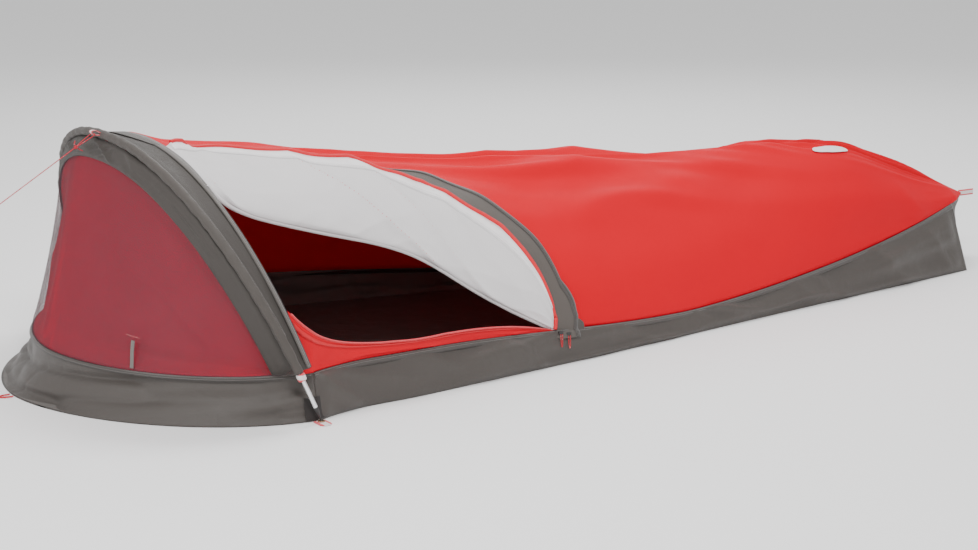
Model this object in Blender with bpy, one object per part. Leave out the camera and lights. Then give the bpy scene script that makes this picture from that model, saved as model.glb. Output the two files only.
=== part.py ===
"""Bivy sack: one-hoop bivouac shelter with a tub floor, a vent window at the head, a folded-back side door and its zips.

Frame: metres, +X toward the foot, +Z up, -Y the door side, origin on the ground under the middle of the outline.
Each cloth panel is a thin closed shell; the hoop pole is three tubes joined by ferrules over an elastic cord.
"""
import math

import bpy
import bmesh
import numpy as np
from mathutils import Vector

# ---- driving dimensions, metres; +X foot, -Y door side, +Z up ----
FLOOR_HEAD_X = -1.222      # tip of the tub floor at the head
FLOOR_FOOT_X = 1.111       # straight foot edge of the floor
FLOOR_FOOT_HALF = 0.136
HOOP_X = -0.808            # line through both pole feet
HOOP_HALF = 0.474          # half the distance between pole feet
HOOP_RISE = 0.530          # hoop height in its own plane
HOOP_LEAN = math.radians(23.5)
HOOP_POWER = 2.28          # squareness of the hoop curve
TUB_HEAD_HALF = 0.452      # half width of the tub at the hoop
TUB_TOP_HEAD_X = -1.150
TUB_TOP_HALF = 0.440
FOOT_POINT = (1.212, 0.0, 0.157)   # where the foot tab pulls the canopy out
DOOR_FOOT = (-0.205, -0.337, 0.066)

def arr(*v):
    return np.array(v, float)

def ramp(x, x0, x1):
    """Soft step: 0 before x0, 1 after x1."""
    t = np.clip((np.asarray(x, float) - x0) / (x1 - x0), 0, 1)
    return t * t * (3 - 2 * t)

def swell(x, at, spread):
    """Rounded bump, 1 at its middle."""
    return np.exp(-((np.asarray(x, float) - at) / spread) ** 2)

def hoop(a, rise=0.0):
    """Point on the hoop; a runs 0 near foot, pi/2 top, pi far foot. rise grows the curve outward."""
    a = np.asarray(a, float)
    c, s = np.cos(a), np.sin(a)
    y = -(HOOP_HALF + rise) * np.sign(c) * np.abs(c) ** (2 / HOOP_POWER)
    h = (HOOP_RISE + rise) * np.abs(s) ** (2 / HOOP_POWER)
    return np.stack([HOOP_X - h * math.sin(HOOP_LEAN), y, h * math.cos(HOOP_LEAN)], -1)

def head_edge(a, x0, half, power, x1=HOOP_X):
    """Rounded head outline; a as on the hoop, so pi/2 is the tip."""
    a = np.asarray(a, float)
    c, s = np.cos(a), np.sin(a)
    x = x1 - (x1 - x0) * np.abs(s) ** (2 / power)
    y = -half * np.sign(c) * np.abs(c) ** (2 / power)
    return x, y

def tub_base_head(a):
    x, y = head_edge(a, FLOOR_HEAD_X, TUB_HEAD_HALF + 0.010, 1.81)
    return np.stack([x, y, 0 * x], -1)

def tub_top_head(a):
    x, y = head_edge(a, TUB_TOP_HEAD_X, TUB_TOP_HALF, 1.84)
    z = 0.083 + 0.004 * (np.abs(y) / TUB_TOP_HALF) ** 2
    return np.stack([x, y, z], -1)

BASE_TAPER = 0.167         # the floor's half width lost per metre toward the foot
BASE_BELLY = 0.006         # cloth eased out beside the hips
BASE_WAIST = 0.012         # cloth drawn in just behind the pole feet
BASE_FLARE = 0.0083        # and let out again at the pole feet
def base_half(x):
    """Half width of the floor behind the hoop: a straight taper, drawn in beside the pole feet."""
    x = np.asarray(x, float)
    return (FLOOR_FOOT_HALF + BASE_TAPER * (FLOOR_FOOT_X - x) + BASE_BELLY * swell(x, -0.10, 0.30)
            - BASE_WAIST * swell(x, -0.70, 0.09) + BASE_FLARE * np.exp(-np.maximum(x - HOOP_X, 0) / 0.03))

TUB_SIDE_HEAD = 0.086      # tub wall height beside the hoop
TUB_SIDE_LOW = 0.048       # and where it is lowest, beside the hips
TUB_FOOT_RISE = 0.110      # it climbs again toward the foot tab
def top_height(x):
    x = np.asarray(x, float)
    return TUB_SIDE_HEAD + (TUB_SIDE_LOW - TUB_SIDE_HEAD) * ramp(x, -0.60, 0.20) + TUB_FOOT_RISE * np.maximum(x - 0.15, 0) ** 1.7

def tub_base_side(x):
    x = np.asarray(x, float)
    return np.stack([x, -base_half(x), 0 * x], -1)

def tub_top_side(x):
    x = np.asarray(x, float)
    z = top_height(x)
    lean = 0.25 + 0.20 * np.clip((x - 0.6) / 0.54, 0, 1) ** 2
    return np.stack([x, -(base_half(x) - lean * z), z], -1)

RIDGE_HEAD = (-0.95, 0.476)    # ridge at the hoop
RIDGE_TOES = (0.76, 0.322)     # ridge over the toes, held up by what lies inside
RIDGE_SAG = 0.028              # the ridge hangs this far below the straight line between them
RIDGE_ROUND = 0.010            # how softly it turns down over the toes
def ridge_z(x):
    """Ridge height: a slack line from the hoop to the toes, then a straight run down to the foot point."""
    x = np.asarray(x, float)
    t = (x - RIDGE_HEAD[0]) / (RIDGE_TOES[0] - RIDGE_HEAD[0])
    line = RIDGE_HEAD[1] + (RIDGE_TOES[1] - RIDGE_HEAD[1]) * t - 4 * RIDGE_SAG * np.clip(t, 0, 1) * (1 - np.clip(t, 0, 1)) ** 0.9
    run = FOOT_POINT[2] + 0.420 * (FOOT_POINT[0] - x)
    return -RIDGE_ROUND * np.log(np.exp(-line / RIDGE_ROUND) + np.exp(-run / RIDGE_ROUND))

def share(P):
    """Height of a hoop point as a share of the top's height."""
    return np.clip(P[..., 2] / (HOOP_RISE * math.cos(HOOP_LEAN)), 0, 1)

def toward_foot(H):
    d = np.array(FOOT_POINT) - H
    return d / np.linalg.norm(d, axis=-1, keepdims=True)

def strip_width(H):
    return 0.022 + 0.050 * share(H) ** 1.3

def strip(a, f):
    """Grey strip behind the hoop: f 0 on the hoop line, 1 on the zip edge."""
    H = hoop(a)
    return H + toward_foot(H) * (strip_width(H) * f)[..., None]

def zip_edge(a):
    return strip(a, np.ones_like(np.asarray(a, float)))

def head_skin(a, r):
    """Head surface: r 0 on the hoop line, 1 on the tub's top edge."""
    r = np.asarray(r, float)[..., None]
    return hoop(a) * (1 - r) + tub_top_head(a) * r

def band_share(a):
    """Share of the head surface that the grey band takes."""
    H = hoop(a)
    return (0.076 - 0.027 * share(H)) / np.linalg.norm(H - tub_top_head(a), axis=-1)

DOOR_TOP_ANGLE = 1.20

def columns(L, R, v, n):
    """Skin between a low edge L and the ridge R; v 0 low, 1 ridge; n 1 is flat, 2 a quarter ellipse."""
    phi = np.clip(np.asarray(v, float), 0, 1) * math.pi / 2
    c, s = np.cos(phi) ** (2 / n), np.sin(phi) ** (2 / n)
    x = R[..., 0] + (L[..., 0] - R[..., 0]) * c
    y = R[..., 1] + (L[..., 1] - R[..., 1]) * c
    z = L[..., 2] + (R[..., 2] - L[..., 2]) * s
    return np.stack([x, y, z], -1)

def ridge(x):
    x = np.asarray(x, float)
    return np.stack([x, 0 * x, ridge_z(x)], -1)

ROOF_POWER = 1.55
DOOR_RIDGE_X = 0.10        # ridge station above the door's foot corner
def door_top():
    return zip_edge(np.array([DOOR_TOP_ANGLE]))[0]

def chord(u):
    u = np.asarray(u, float)[..., None]
    return door_top() * (1 - u) + np.array(DOOR_FOOT) * u

FOLD_START = 1.033         # where the door's fold meets the zip edge, as an angle on the hoop
FOLD_HEAD = 0.034          # the fold starts this far along the hinge line
FOLD_DIP = 0.064           # and this far below it
FOLD_CROWN = 0.034         # it rises over the hinge line by this much beside the chest
FREE_DEPTH = 0.238         # depth of the folded door, hinge line to free edge
FREE_NOSE = 0.60           # share of the depth lost where the free edge starts at the hoop
STORM_DEPTH = 0.256        # storm flap's outer edge above the hinge line
def door_length():
    return float(np.linalg.norm(np.array(DOOR_FOOT) - door_top()))

def fold_line(s):
    """Fold of the door, as height above the hinge line at a length s along it."""
    return -FOLD_DIP * (1 - ramp(s, 0.05, 0.43)) + FOLD_CROWN * swell(s, 0.51, 0.135) * (1 - ramp(s, 0.70, door_length()))

def free_line(s):
    """Free edge of the folded door: rises off the hoop, runs level, then rounds down to the door's foot."""
    s = np.asarray(s, float)
    close = np.clip(s / (door_length() - 0.003), 0, 1) ** 4.5
    return FREE_DEPTH * (1 - FREE_NOSE * np.exp(-s / 0.13)) * (1 - close) + 0.010 * swell(s, 0.385, 0.05) - 0.006 * swell(s, 0.28, 0.04)

def storm_line(s):
    """Outer edge of the storm flap."""
    s = np.asarray(s, float)
    return STORM_DEPTH * (1 - (np.clip(s - 0.36, 0, None) / 0.54) ** 2.3)


def plain_roof(u, v):
    u = np.asarray(u, float)
    x0 = -0.957
    return columns(chord(u), ridge(x0 + (DOOR_RIDGE_X - x0) * u), v, ROOF_POWER)


def door_axes():
    """The door's hinge line: its start, unit vectors along it, up the roof and outward."""
    T, F = door_top(), np.array(DOOR_FOOT)
    e1 = (F - T) / np.linalg.norm(F - T)
    m = plain_roof(np.array(0.45), np.array(0.6)) - T
    e2 = m - (m @ e1) * e1
    e2 /= np.linalg.norm(e2)
    e3 = np.cross(e1, e2)
    return T, e1, e2, e3 * np.sign(e3[2])


def fold_edge(u):
    """The near roof's low edge, where the door folds back; u 0 at the hoop, 1 at the door's foot."""
    T, e1, e2, e3 = door_axes()
    s = FOLD_HEAD + (door_length() - FOLD_HEAD) * np.asarray(u, float)
    q = fold_line(s)
    z = 0.025 * (1 - np.clip((s - FOLD_HEAD) / 0.08, 0, 1)) ** 2
    return T + s[..., None] * e1 + q[..., None] * e2 + z[..., None] * e3


def near_roof(u, v):
    u = np.asarray(u, float)
    x0 = -0.957
    P = columns(fold_edge(u), ridge(x0 + (DOOR_RIDGE_X - x0) * u), v, ROOF_POWER)
    w = np.clip(np.asarray(v, float), 0, 1)
    P0 = columns(fold_edge(0 * u), ridge(x0 + 0 * u), w, ROOF_POWER)
    edge = zip_edge(FOLD_START + (math.pi / 2 - FOLD_START) * w)
    first = (1 - np.clip(u / 0.16, 0, 1)) ** 2
    return P + (edge - P0) * first[..., None]


def skin_power(x):
    """Roundness of the skin's cross-section: full at the hoop, slack along the body, lifted over the toes."""
    return 1.7 + 0.5 * (1 - ramp(x, -1.0, -0.2)) + 0.2 * swell(x, 0.8, 0.18) - 0.4 * ramp(x, 0.9, 1.3)

def low_side(u, x0):
    """Tub top edge from x0 on to the foot point, near side."""
    u = np.asarray(u, float)
    x = x0 + (1.14 - x0) * np.clip(u / 0.93, 0, 1)
    P = tub_top_side(x)
    k = np.clip((u - 0.93) / 0.07, 0, 1)[..., None]
    return P * (1 - k) + np.array(FOOT_POINT) * k

def near_rear(u, v):
    u = np.asarray(u, float)
    L = low_side(u, DOOR_FOOT[0])
    first = (1 - np.clip(u / 0.12, 0, 1)) ** 2
    L = L + (np.array(DOOR_FOOT) - tub_top_side(np.array(DOOR_FOOT[0]))) * first[..., None]
    R = ridge(DOOR_RIDGE_X + (FOOT_POINT[0] - DOOR_RIDGE_X) * u)
    n = ROOF_POWER + (skin_power(R[..., 0]) - ROOF_POWER) * np.clip(u / 0.5, 0, 1)
    return columns(L, R, v, n)

SILL_HIGH = 0.106          # sill height along the mouth
SILL_SWEEP = 0.104         # it sweeps up this much where it meets the hoop
SILL_END_DROP = 0.040      # and falls away to the door's foot
def sill_top(x):
    x = np.asarray(x, float)
    z = (SILL_HIGH + SILL_SWEEP * np.exp(-(x + 0.857) / 0.080)
         - SILL_END_DROP * (np.clip(x + 0.50, 0, None) / (DOOR_FOOT[0] + 0.50)) ** 2)
    y = -(np.where(x > HOOP_X, base_half(np.maximum(x, HOOP_X)), 0.462) - (0.12 + 0.18 * np.clip((x + 0.45) / 0.25, 0, 1)) * z)
    return np.stack([x, y, z], -1)

# ---- small parts ----
CLOTH = 0.0014             # shell thickness of every cloth panel
GAP = 0.0012               # clearance between neighbouring panels
POLE_R = 0.0045
POLE_BORE = 0.0034
FERRULE_R = 0.0055
FERRULE_BORE = 0.0049
FERRULE_LENGTH = 0.060
SLEEVE_R = 0.0085
SLEEVE_BORE = 0.0064
SHOCK_CORD_R = 0.0011
FOOT_AXIS_Z = 0.0046       # height of the line through both pole feet
BALL_R = 0.0026            # ball at the pole tip
TIP_NECK_R = 0.0016
TIP_LENGTH = 0.0336
GUY_R = 0.0009
DOOR_LIFT = 0.0085            # the folded door lies this far above the roof
TAPE_WIDTH = 0.011
TOGGLE_ANGLE = 0.955       # where the vent toggle strap stands, as an angle on the head outline
TOGGLE_LEAN = 0.24
SLIDER_X = -0.202          # parked sliders, tucked under the end of the storm flap
PATCH_U, PATCH_V = 0.605, 0.822     # oval patch over the toes, just off the ridge
PATCH_HALF_LENGTH, PATCH_HALF_WIDTH = 0.047, 0.048

for old in list(bpy.data.objects):
    bpy.data.objects.remove(old, do_unlink=True)

GREY = (0.133, 0.117, 0.105)
LIGHT_GREY = (0.25, 0.222, 0.212)
RED = (0.93, 0.028, 0.038)
PALE = (0.68, 0.65, 0.65)
MAROON = (0.34, 0.06, 0.075)
BLACK = (0.02, 0.017, 0.016)
SILVER = (0.78, 0.78, 0.79)
BRASS = (0.5, 0.36, 0.2)


def material(name, color, rough=0.75, metal=0.0):
    m = bpy.data.materials.new(name)
    m.use_nodes = True
    p = m.node_tree.nodes["Principled BSDF"]
    p.inputs["Base Color"].default_value = (*color, 1)
    p.inputs["Roughness"].default_value = rough
    p.inputs["Metallic"].default_value = metal
    return m


def finish(name, bm, color, rough=0.75, metal=0.0, smooth_shading=True):
    """Makes one named object from a closed bmesh, faces outward."""
    if bm.calc_volume(signed=True) < 0:
        bmesh.ops.reverse_faces(bm, faces=bm.faces)
    mesh = bpy.data.meshes.new(name)
    bm.to_mesh(mesh)
    bm.free()
    if smooth_shading:
        mesh.shade_smooth()
        mesh.set_sharp_from_angle(angle=math.radians(40))
    mesh.materials.append(material(name + "_finish", color, rough, metal))
    ob = bpy.data.objects.new(name, mesh)
    bpy.context.scene.collection.objects.link(ob)
    return ob


def grid_normals(P):
    du = np.gradient(P, axis=0)
    dv = np.gradient(P, axis=1)
    n = np.cross(du, dv)
    return n / np.maximum(np.linalg.norm(n, axis=-1, keepdims=True), 1e-12)


def panel(name, P, color, thick=CLOTH, shift=0.0, floor=None, rough=0.75):
    """Closed shell around a grid of points; shift moves it along the grid's normal."""
    n = grid_normals(P)
    A = P + n * (shift + thick / 2)
    B = P + n * (shift - thick / 2)
    if floor is not None:
        A[..., 2] = np.maximum(A[..., 2], floor)
        B[..., 2] = np.maximum(B[..., 2], floor)
    m, k = P.shape[:2]
    bm = bmesh.new()
    a = [[bm.verts.new(A[i, j]) for j in range(k)] for i in range(m)]
    b = [[bm.verts.new(B[i, j]) for j in range(k)] for i in range(m)]
    for i in range(m - 1):
        for j in range(k - 1):
            bm.faces.new((a[i][j], a[i + 1][j], a[i + 1][j + 1], a[i][j + 1]))
            bm.faces.new((b[i][j], b[i][j + 1], b[i + 1][j + 1], b[i + 1][j]))
    ring = [(i, 0) for i in range(m)] + [(m - 1, j) for j in range(1, k)]
    ring += [(i, k - 1) for i in range(m - 2, -1, -1)] + [(0, j) for j in range(k - 2, 0, -1)]
    for (i, j), (p, q) in zip(ring, ring[1:] + ring[:1]):
        bm.faces.new((a[i][j], b[i][j], b[p][q], a[p][q]))
    return finish(name, bm, color, rough)


def frames(path):
    """Tangent and two steady cross directions along a path."""
    t = np.gradient(path, axis=0)
    t /= np.linalg.norm(t, axis=1, keepdims=True)
    ref = np.array((1.0, 0.0, 0.0)) if abs(t[0][0]) < 0.8 else np.array((0.0, 0.0, 1.0))
    u = ref - t[0] * (ref @ t[0])
    us = []
    for k in range(len(path)):
        u = u - t[k] * (u @ t[k])
        u /= np.linalg.norm(u)
        us.append(u)
    us = np.array(us)
    return t, us, np.cross(t, us)


def tube(name, path, radius, color, bore=0.0, sides=10, rough=0.5, metal=0.0, radii=None):
    """Round bar or open tube along a path. radii gives one outer radius per path point."""
    path = np.asarray(path, float)
    t, u, w = frames(path)
    r = np.full(len(path), radius) if radii is None else np.asarray(radii, float)
    ang = np.linspace(0, 2 * math.pi, sides, endpoint=False)
    cs = np.stack([np.cos(ang), np.sin(ang)], 1)
    bm = bmesh.new()

    def rings(rr):
        return [[bm.verts.new(path[i] + rr[i] * (c * u[i] + s * w[i])) for c, s in cs] for i in range(len(path))]

    outer = rings(r)
    for i in range(len(path) - 1):
        for j in range(sides):
            k = (j + 1) % sides
            bm.faces.new((outer[i][j], outer[i][k], outer[i + 1][k], outer[i + 1][j]))
    if bore:
        inner = rings(np.full(len(path), bore))
        for i in range(len(path) - 1):
            for j in range(sides):
                k = (j + 1) % sides
                bm.faces.new((inner[i][j], inner[i + 1][j], inner[i + 1][k], inner[i][k]))
        for i in (0, len(path) - 1):
            for j in range(sides):
                k = (j + 1) % sides
                f = (outer[i][j], inner[i][j], inner[i][k], outer[i][k])
                bm.faces.new(f if i == 0 else f[::-1])
    else:
        bm.faces.new(outer[0][::-1])
        bm.faces.new(outer[-1])
    bmesh.ops.recalc_face_normals(bm, faces=bm.faces)
    return finish(name, bm, color, rough, metal)


def block(name, corners_low, corners_high, color, rough=0.7, hole=None, axes=None, centre=None):
    """Box, or a plate with a round hole given as (x, y, radius) through z."""
    lo, hi = np.array(corners_low, float), np.array(corners_high, float)
    bm = bmesh.new()
    if hole is None:
        bmesh.ops.create_cube(bm, size=1.0)
        for v in bm.verts:
            v.co = Vector((lo + hi) / 2 + (hi - lo) * np.array(v.co))
    else:
        hx, hy, hr = hole
        k = 16
        edge, ring = [], []
        for i in range(k):
            a = 2 * math.pi * (i + 0.5) / k
            c, s = math.cos(a), math.sin(a)
            reach = min((hi[0] - hx if c > 0 else hx - lo[0]) / max(abs(c), 1e-9),
                        (hi[1] - hy if s > 0 else hy - lo[1]) / max(abs(s), 1e-9))
            edge.append((hx + c * reach, hy + s * reach))
            ring.append((hx + c * hr, hy + s * hr))
        vs = {}
        for z in (lo[2], hi[2]):
            vs[z] = ([bm.verts.new((*p, z)) for p in edge], [bm.verts.new((*p, z)) for p in ring])
        for i in range(k):
            j = (i + 1) % k
            (e0, r0), (e1, r1) = vs[lo[2]], vs[hi[2]]
            bm.faces.new((e1[i], e1[j], r1[j], r1[i]))
            bm.faces.new((e0[i], r0[i], r0[j], e0[j]))
            bm.faces.new((e0[i], e0[j], e1[j], e1[i]))
            bm.faces.new((r0[i], r1[i], r1[j], r0[j]))
        bmesh.ops.recalc_face_normals(bm, faces=bm.faces)
    return finish(name, bm, color, rough, 0.0, False)


def extrude_outline(name, outline, z0, z1, color, rough=0.75):
    bm = bmesh.new()
    low = [bm.verts.new((x, y, z0)) for x, y in outline]
    top = [bm.verts.new((x, y, z1)) for x, y in outline]
    bm.faces.new(low[::-1])
    bm.faces.new(top)
    for i in range(len(outline)):
        j = (i + 1) % len(outline)
        bm.faces.new((low[i], low[j], top[j], top[i]))
    bmesh.ops.recalc_face_normals(bm, faces=bm.faces)
    return finish(name, bm, color, rough, 0.0, False)


def mesh_grid(us, vs, f):
    U, V = np.meshgrid(us, vs, indexing="ij")
    return f(U, V)


def mirrored(P):
    return P * np.array((1.0, -1.0, 1.0))


# ---- tub: floor and four walls ----
head_a = np.linspace(0.10, math.pi - 0.10, 25)
hb = tub_base_head(head_a) + np.array((0.0045, 0.0, 0.0))
outline = [(x, y * 0.988) for x, y, _ in hb]
side_x = np.linspace(-0.72, FLOOR_FOOT_X - 0.006, 12)
near = [(x, -(float(base_half(x)) - 0.005)) for x in side_x]
far = [(x, -y) for x, y in near]
outline = [(x, y) for x, y in near[::-1]] + outline + far
extrude_outline("floor_panel", outline, 0.0, 0.0018, GREY)

wall_a = np.linspace(0.03, math.pi - 0.03, 31)
rows = np.linspace(0, 1, 3)
panel("tub_wall_head", mesh_grid(wall_a, rows, lambda a, r: tub_base_head(a) * (1 - r[..., None]) + tub_top_head(a) * r[..., None]), GREY, floor=0.0)


def side_wall(x, r):
    r = r[..., None]
    return tub_base_side(x) * (1 - r) + tub_top_side(x) * r


wall_x = np.concatenate([np.linspace(HOOP_X + 0.004, -0.69, 5), np.linspace(-0.6, 1.106, 17)])
near_wall = mesh_grid(wall_x, rows, side_wall)
panel("tub_wall_near", near_wall, GREY, floor=0.0)
panel("tub_wall_far", mirrored(near_wall), GREY, floor=0.0)


def foot_wall(t, r):
    """Foot end: t -1 near side, 1 far side; r 0 floor, 1 top edge."""
    r, k = r[..., None], np.abs(t)[..., None]
    base = np.stack([FLOOR_FOOT_X + 0.010 * (1 - t * t), FLOOR_FOOT_HALF * t, 0 * t], -1)
    corner = tub_top_side(np.array(1.10))
    corner = np.stack([np.full_like(t, corner[0] + 0.010), np.sign(t) * abs(corner[1]), np.full_like(t, corner[2])], -1)
    top = np.array(FOOT_POINT) * (1 - k) + corner * k
    return base * (1 - r) + top * r


foot_t = np.array([-0.95, -0.75, -0.5, -0.25, -0.04, 0.04, 0.25, 0.5, 0.75, 0.95])
panel("tub_wall_foot", mesh_grid(foot_t, np.linspace(0, 1, 4), foot_wall), GREY, floor=0.0)


def wall_out(x, z, off):
    """Outer face of the tub beside the pole foot."""
    k = np.clip((HOOP_X - x) / (HOOP_X - FLOOR_HEAD_X), 0, 1)
    w = np.where(x < HOOP_X, (TUB_HEAD_HALF + 0.010) * (1 - k ** 1.81) ** (1 / 1.81), base_half(np.maximum(x, HOOP_X)))
    return np.stack([x, -(w - 0.25 * z + off), z], -1)


patch = mesh_grid(np.linspace(HOOP_X - 0.026, HOOP_X + 0.028, 7), np.linspace(0.004, 0.044, 3), lambda x, z: wall_out(x, z, 0.0024))
panel("corner_patch_near", patch, BLACK, thick=0.0012)
panel("corner_patch_far", mirrored(patch), BLACK, thick=0.0012)

FOOT_X = HOOP_X - FOOT_AXIS_Z * math.tan(HOOP_LEAN)   # the pole feet turn in their grommets here
for side, s in (("near", -1), ("far", 1)):
    y0, y1 = sorted((s * (HOOP_HALF - 0.0085), s * (HOOP_HALF + 0.026)))
    block("grommet_tab_" + side, (FOOT_X - 0.012, y0, 0.0003), (FOOT_X + 0.012, y1, 0.0019), PALE, hole=(FOOT_X, s * HOOP_HALF, 0.0036))
    tube("grommet_ring_" + side, [(FOOT_X, s * HOOP_HALF, z) for z in (0.0022, 0.0031, 0.0040)],
         0.0068, BRASS, bore=0.0036, sides=16, rough=0.35, metal=1.0)

# ---- foot tab and head stake loop ----
tab = []
for x, y in [(FOOT_POINT[0] + 0.006, 0.0009), (FOOT_POINT[0] + 0.036, 0.0011), (1.2510, 0.0006), (1.2510, -0.0006), (FOOT_POINT[0] + 0.036, -0.0011), (FOOT_POINT[0] + 0.006, -0.0009)]:
    tab.append((x, y))
extrude_outline("foot_tab", tab, FOOT_POINT[2] - 0.007, FOOT_POINT[2] + 0.007, PALE)
loop_t = np.linspace(0, 1, 15)
loop_path = np.stack([FLOOR_HEAD_X - 0.003 - 0.0245 * np.sin(loop_t * math.pi) ** 0.8,
                      -0.009 * np.cos(loop_t * math.pi), 0 * loop_t + 0.0019], 1)
tube("head_stake_loop", loop_path, 0.0015, RED, sides=8, rough=0.8)

# ---- head window: mesh outside, solid vent cover inside, toggle strap ----
win_a = np.linspace(0.42, math.pi - 0.42, 25)


def window(a, r):
    rb = band_share(a)
    lo = rb + 0.012
    return head_skin(a, lo + (0.985 - lo) * r)


win = mesh_grid(win_a, np.linspace(0, 1, 5), window)
panel("vent_mesh", win, MAROON, shift=0.0)
panel("vent_cover", win, RED, shift=-0.0065)
strap_a = np.linspace(-0.010, 0.010, 3) + TOGGLE_ANGLE
strap = mesh_grid(strap_a, np.linspace(0.835, 0.965, 4), lambda a, r: head_skin(a + TOGGLE_LEAN * (0.965 - r), r))
panel("vent_toggle_strap", strap, GREY, shift=0.0030, thick=0.0014)
cord_a = np.linspace(-0.038, 0.038, 9) + TOGGLE_ANGLE + TOGGLE_LEAN * 0.155
cord_mid = head_skin(cord_a, np.full_like(cord_a, 0.810))
cord_out = np.cross(np.gradient(cord_mid, axis=0), cord_mid - head_skin(cord_a, np.full_like(cord_a, 0.9)))
cord_out /= np.linalg.norm(cord_out, axis=1, keepdims=True)
cord_out *= np.sign(-cord_out[:, 1:2])
tube("vent_toggle_cord", cord_mid + cord_out * 0.0042, 0.0012, RED, sides=8, rough=0.8)

# ---- hoop: pole, sleeve, band and strip ----
FAR_A = math.pi
SLEEVE_A = 0.165


def length_to_angle(n=400):
    a = np.linspace(0.0, math.pi, n)
    P = hoop(a)
    s = np.concatenate([[0], np.cumsum(np.linalg.norm(np.diff(P, axis=0), axis=1))])
    return a, s


A_TABLE, S_TABLE = length_to_angle(2001)
HOOP_LENGTH = S_TABLE[-1]


def on_hoop(s):
    return hoop(np.interp(s, S_TABLE, A_TABLE))


third = HOOP_LENGTH / 3
cuts = [0.034, third, 2 * third, HOOP_LENGTH - 0.034]
s_sleeve = float(np.interp(SLEEVE_A, A_TABLE, S_TABLE))
stops = [0.040, s_sleeve - 0.017, s_sleeve - 0.003, s_sleeve]
stops += [HOOP_LENGTH - k for k in stops]
stops += [c + k for c in (third, 2 * third) for k in (-FERRULE_LENGTH / 2, 0.0, FERRULE_LENGTH / 2)]
STATIONS = sorted(stops + [k for k in np.arange(0.075, HOOP_LENGTH - 0.04, 0.038) if min(abs(k - q) for q in stops) > 0.012])


def hoop_run(s0, s1):
    """Points on the hoop between two lengths, on shared stations, so that coaxial parts stay coaxial."""
    return on_hoop(np.array([s0] + [k for k in STATIONS if s0 + 0.001 < k < s1 - 0.001] + [s1]))


for name, s0, s1 in (("pole_section_near", cuts[0], cuts[1] - 0.0002), ("pole_section_top", cuts[1] + 0.0002, cuts[2] - 0.0002), ("pole_section_far", cuts[2] + 0.0002, cuts[3])):
    tube(name, hoop_run(s0, s1), POLE_R, SILVER, bore=POLE_BORE, sides=12, rough=0.3, metal=0.9)
for name, s in (("ferrule_near", cuts[1]), ("ferrule_far", cuts[2])):
    tube(name, hoop_run(s - FERRULE_LENGTH / 2, s + FERRULE_LENGTH / 2), FERRULE_R, SILVER, bore=FERRULE_BORE, sides=12, rough=0.3, metal=0.9)
tube("shock_cord", hoop_run(0.040, HOOP_LENGTH - 0.040), SHOCK_CORD_R, BLACK, sides=6, rough=0.8)
for side, flip in (("near", False), ("far", True)):
    turn = np.radians(np.arange(30, 145, 28))
    stem = np.linspace(FOOT_AXIS_Z + BALL_R, TIP_LENGTH, 6)
    s = np.concatenate([FOOT_AXIS_Z - BALL_R * np.cos(turn), stem])
    r = np.concatenate([BALL_R * np.sin(turn), TIP_NECK_R + (POLE_R - TIP_NECK_R) * ramp(stem, 0.012, 0.030)])
    P = on_hoop(HOOP_LENGTH - s if flip else s)
    tube("pole_tip_" + side, P, 0, BLACK, sides=12, rough=0.4, radii=r)

tube("pole_sleeve", hoop_run(s_sleeve, HOOP_LENGTH - s_sleeve), SLEEVE_R, GREY, bore=SLEEVE_BORE, sides=12, rough=0.8)
for side, s in (("near", s_sleeve - 0.017), ("far", HOOP_LENGTH - s_sleeve + 0.003)):
    tube("sleeve_end_loop_" + side, hoop_run(s, s + 0.014), 0.0080, PALE, bore=0.0062, sides=12, rough=0.8)

band_a = np.linspace(0.36, math.pi - 0.36, 33)


def band(a, r):
    gap = 0.0125 / np.linalg.norm(hoop(a) - tub_top_head(a), axis=-1)
    return head_skin(a, gap + (np.minimum(band_share(a), 0.96) - gap) * r)


panel("hoop_band", mesh_grid(band_a, np.linspace(0, 1, 3), band), GREY)
strip_a = np.linspace(0.24, math.pi - 0.24, 37)


def strip_skin(a, r):
    gap = 0.0125 / strip_width(hoop(a))
    return strip(a, gap + (1 - gap) * r)


panel("hoop_strip", mesh_grid(strip_a, np.linspace(0, 1, 3), strip_skin), LIGHT_GREY)


def tape_on(path, into, out, name, width=TAPE_WIDTH, color=BLACK):
    """Zip tape lying just outside a cloth edge: path is the edge, into points onto the cloth, out away from it."""
    into = into / np.linalg.norm(into, axis=1, keepdims=True)
    out = out / np.linalg.norm(out, axis=1, keepdims=True)
    P = np.stack([path + into * 0.0012 + out * 0.0022, path + into * (width * 0.5) + out * 0.0022, path + into * width + out * 0.0022], 1)
    return panel(name, P, color, thick=0.0012)


tape_a = np.linspace(0.36, DOOR_TOP_ANGLE + 0.24, 17)
Z = zip_edge(tape_a)
into = hoop(tape_a) - Z
tape_out = np.cross(np.gradient(Z, axis=0), into)
tape_out *= np.sign((tape_out * (Z - np.array((Z[:, 0].mean() + 0.05, 0.0, 0.15)))).sum(1, keepdims=True))
tape_on(Z, into, tape_out, "zip_tape_hoop")

# ---- sill under the door ----
sill_x = np.concatenate([np.linspace(-0.852, -0.70, 8), np.linspace(-0.66, -0.235, 10)])


def sill(x, r):
    r = r[..., None]
    low_x = np.maximum(x, HOOP_X - 0.020)
    low = tub_top_side(np.maximum(low_x, HOOP_X))
    low[..., 0] = low_x + 0.004
    low[..., 2] += 0.0030
    return low * (1 - r) + sill_top(x) * r


panel("door_sill", mesh_grid(sill_x, np.linspace(0, 1, 3), sill), RED)
panel("zip_tape_sill", mesh_grid(sill_x[2:-1], np.array([0.66, 0.96]), sill), BLACK, shift=0.0028, thick=0.0011)

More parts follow.
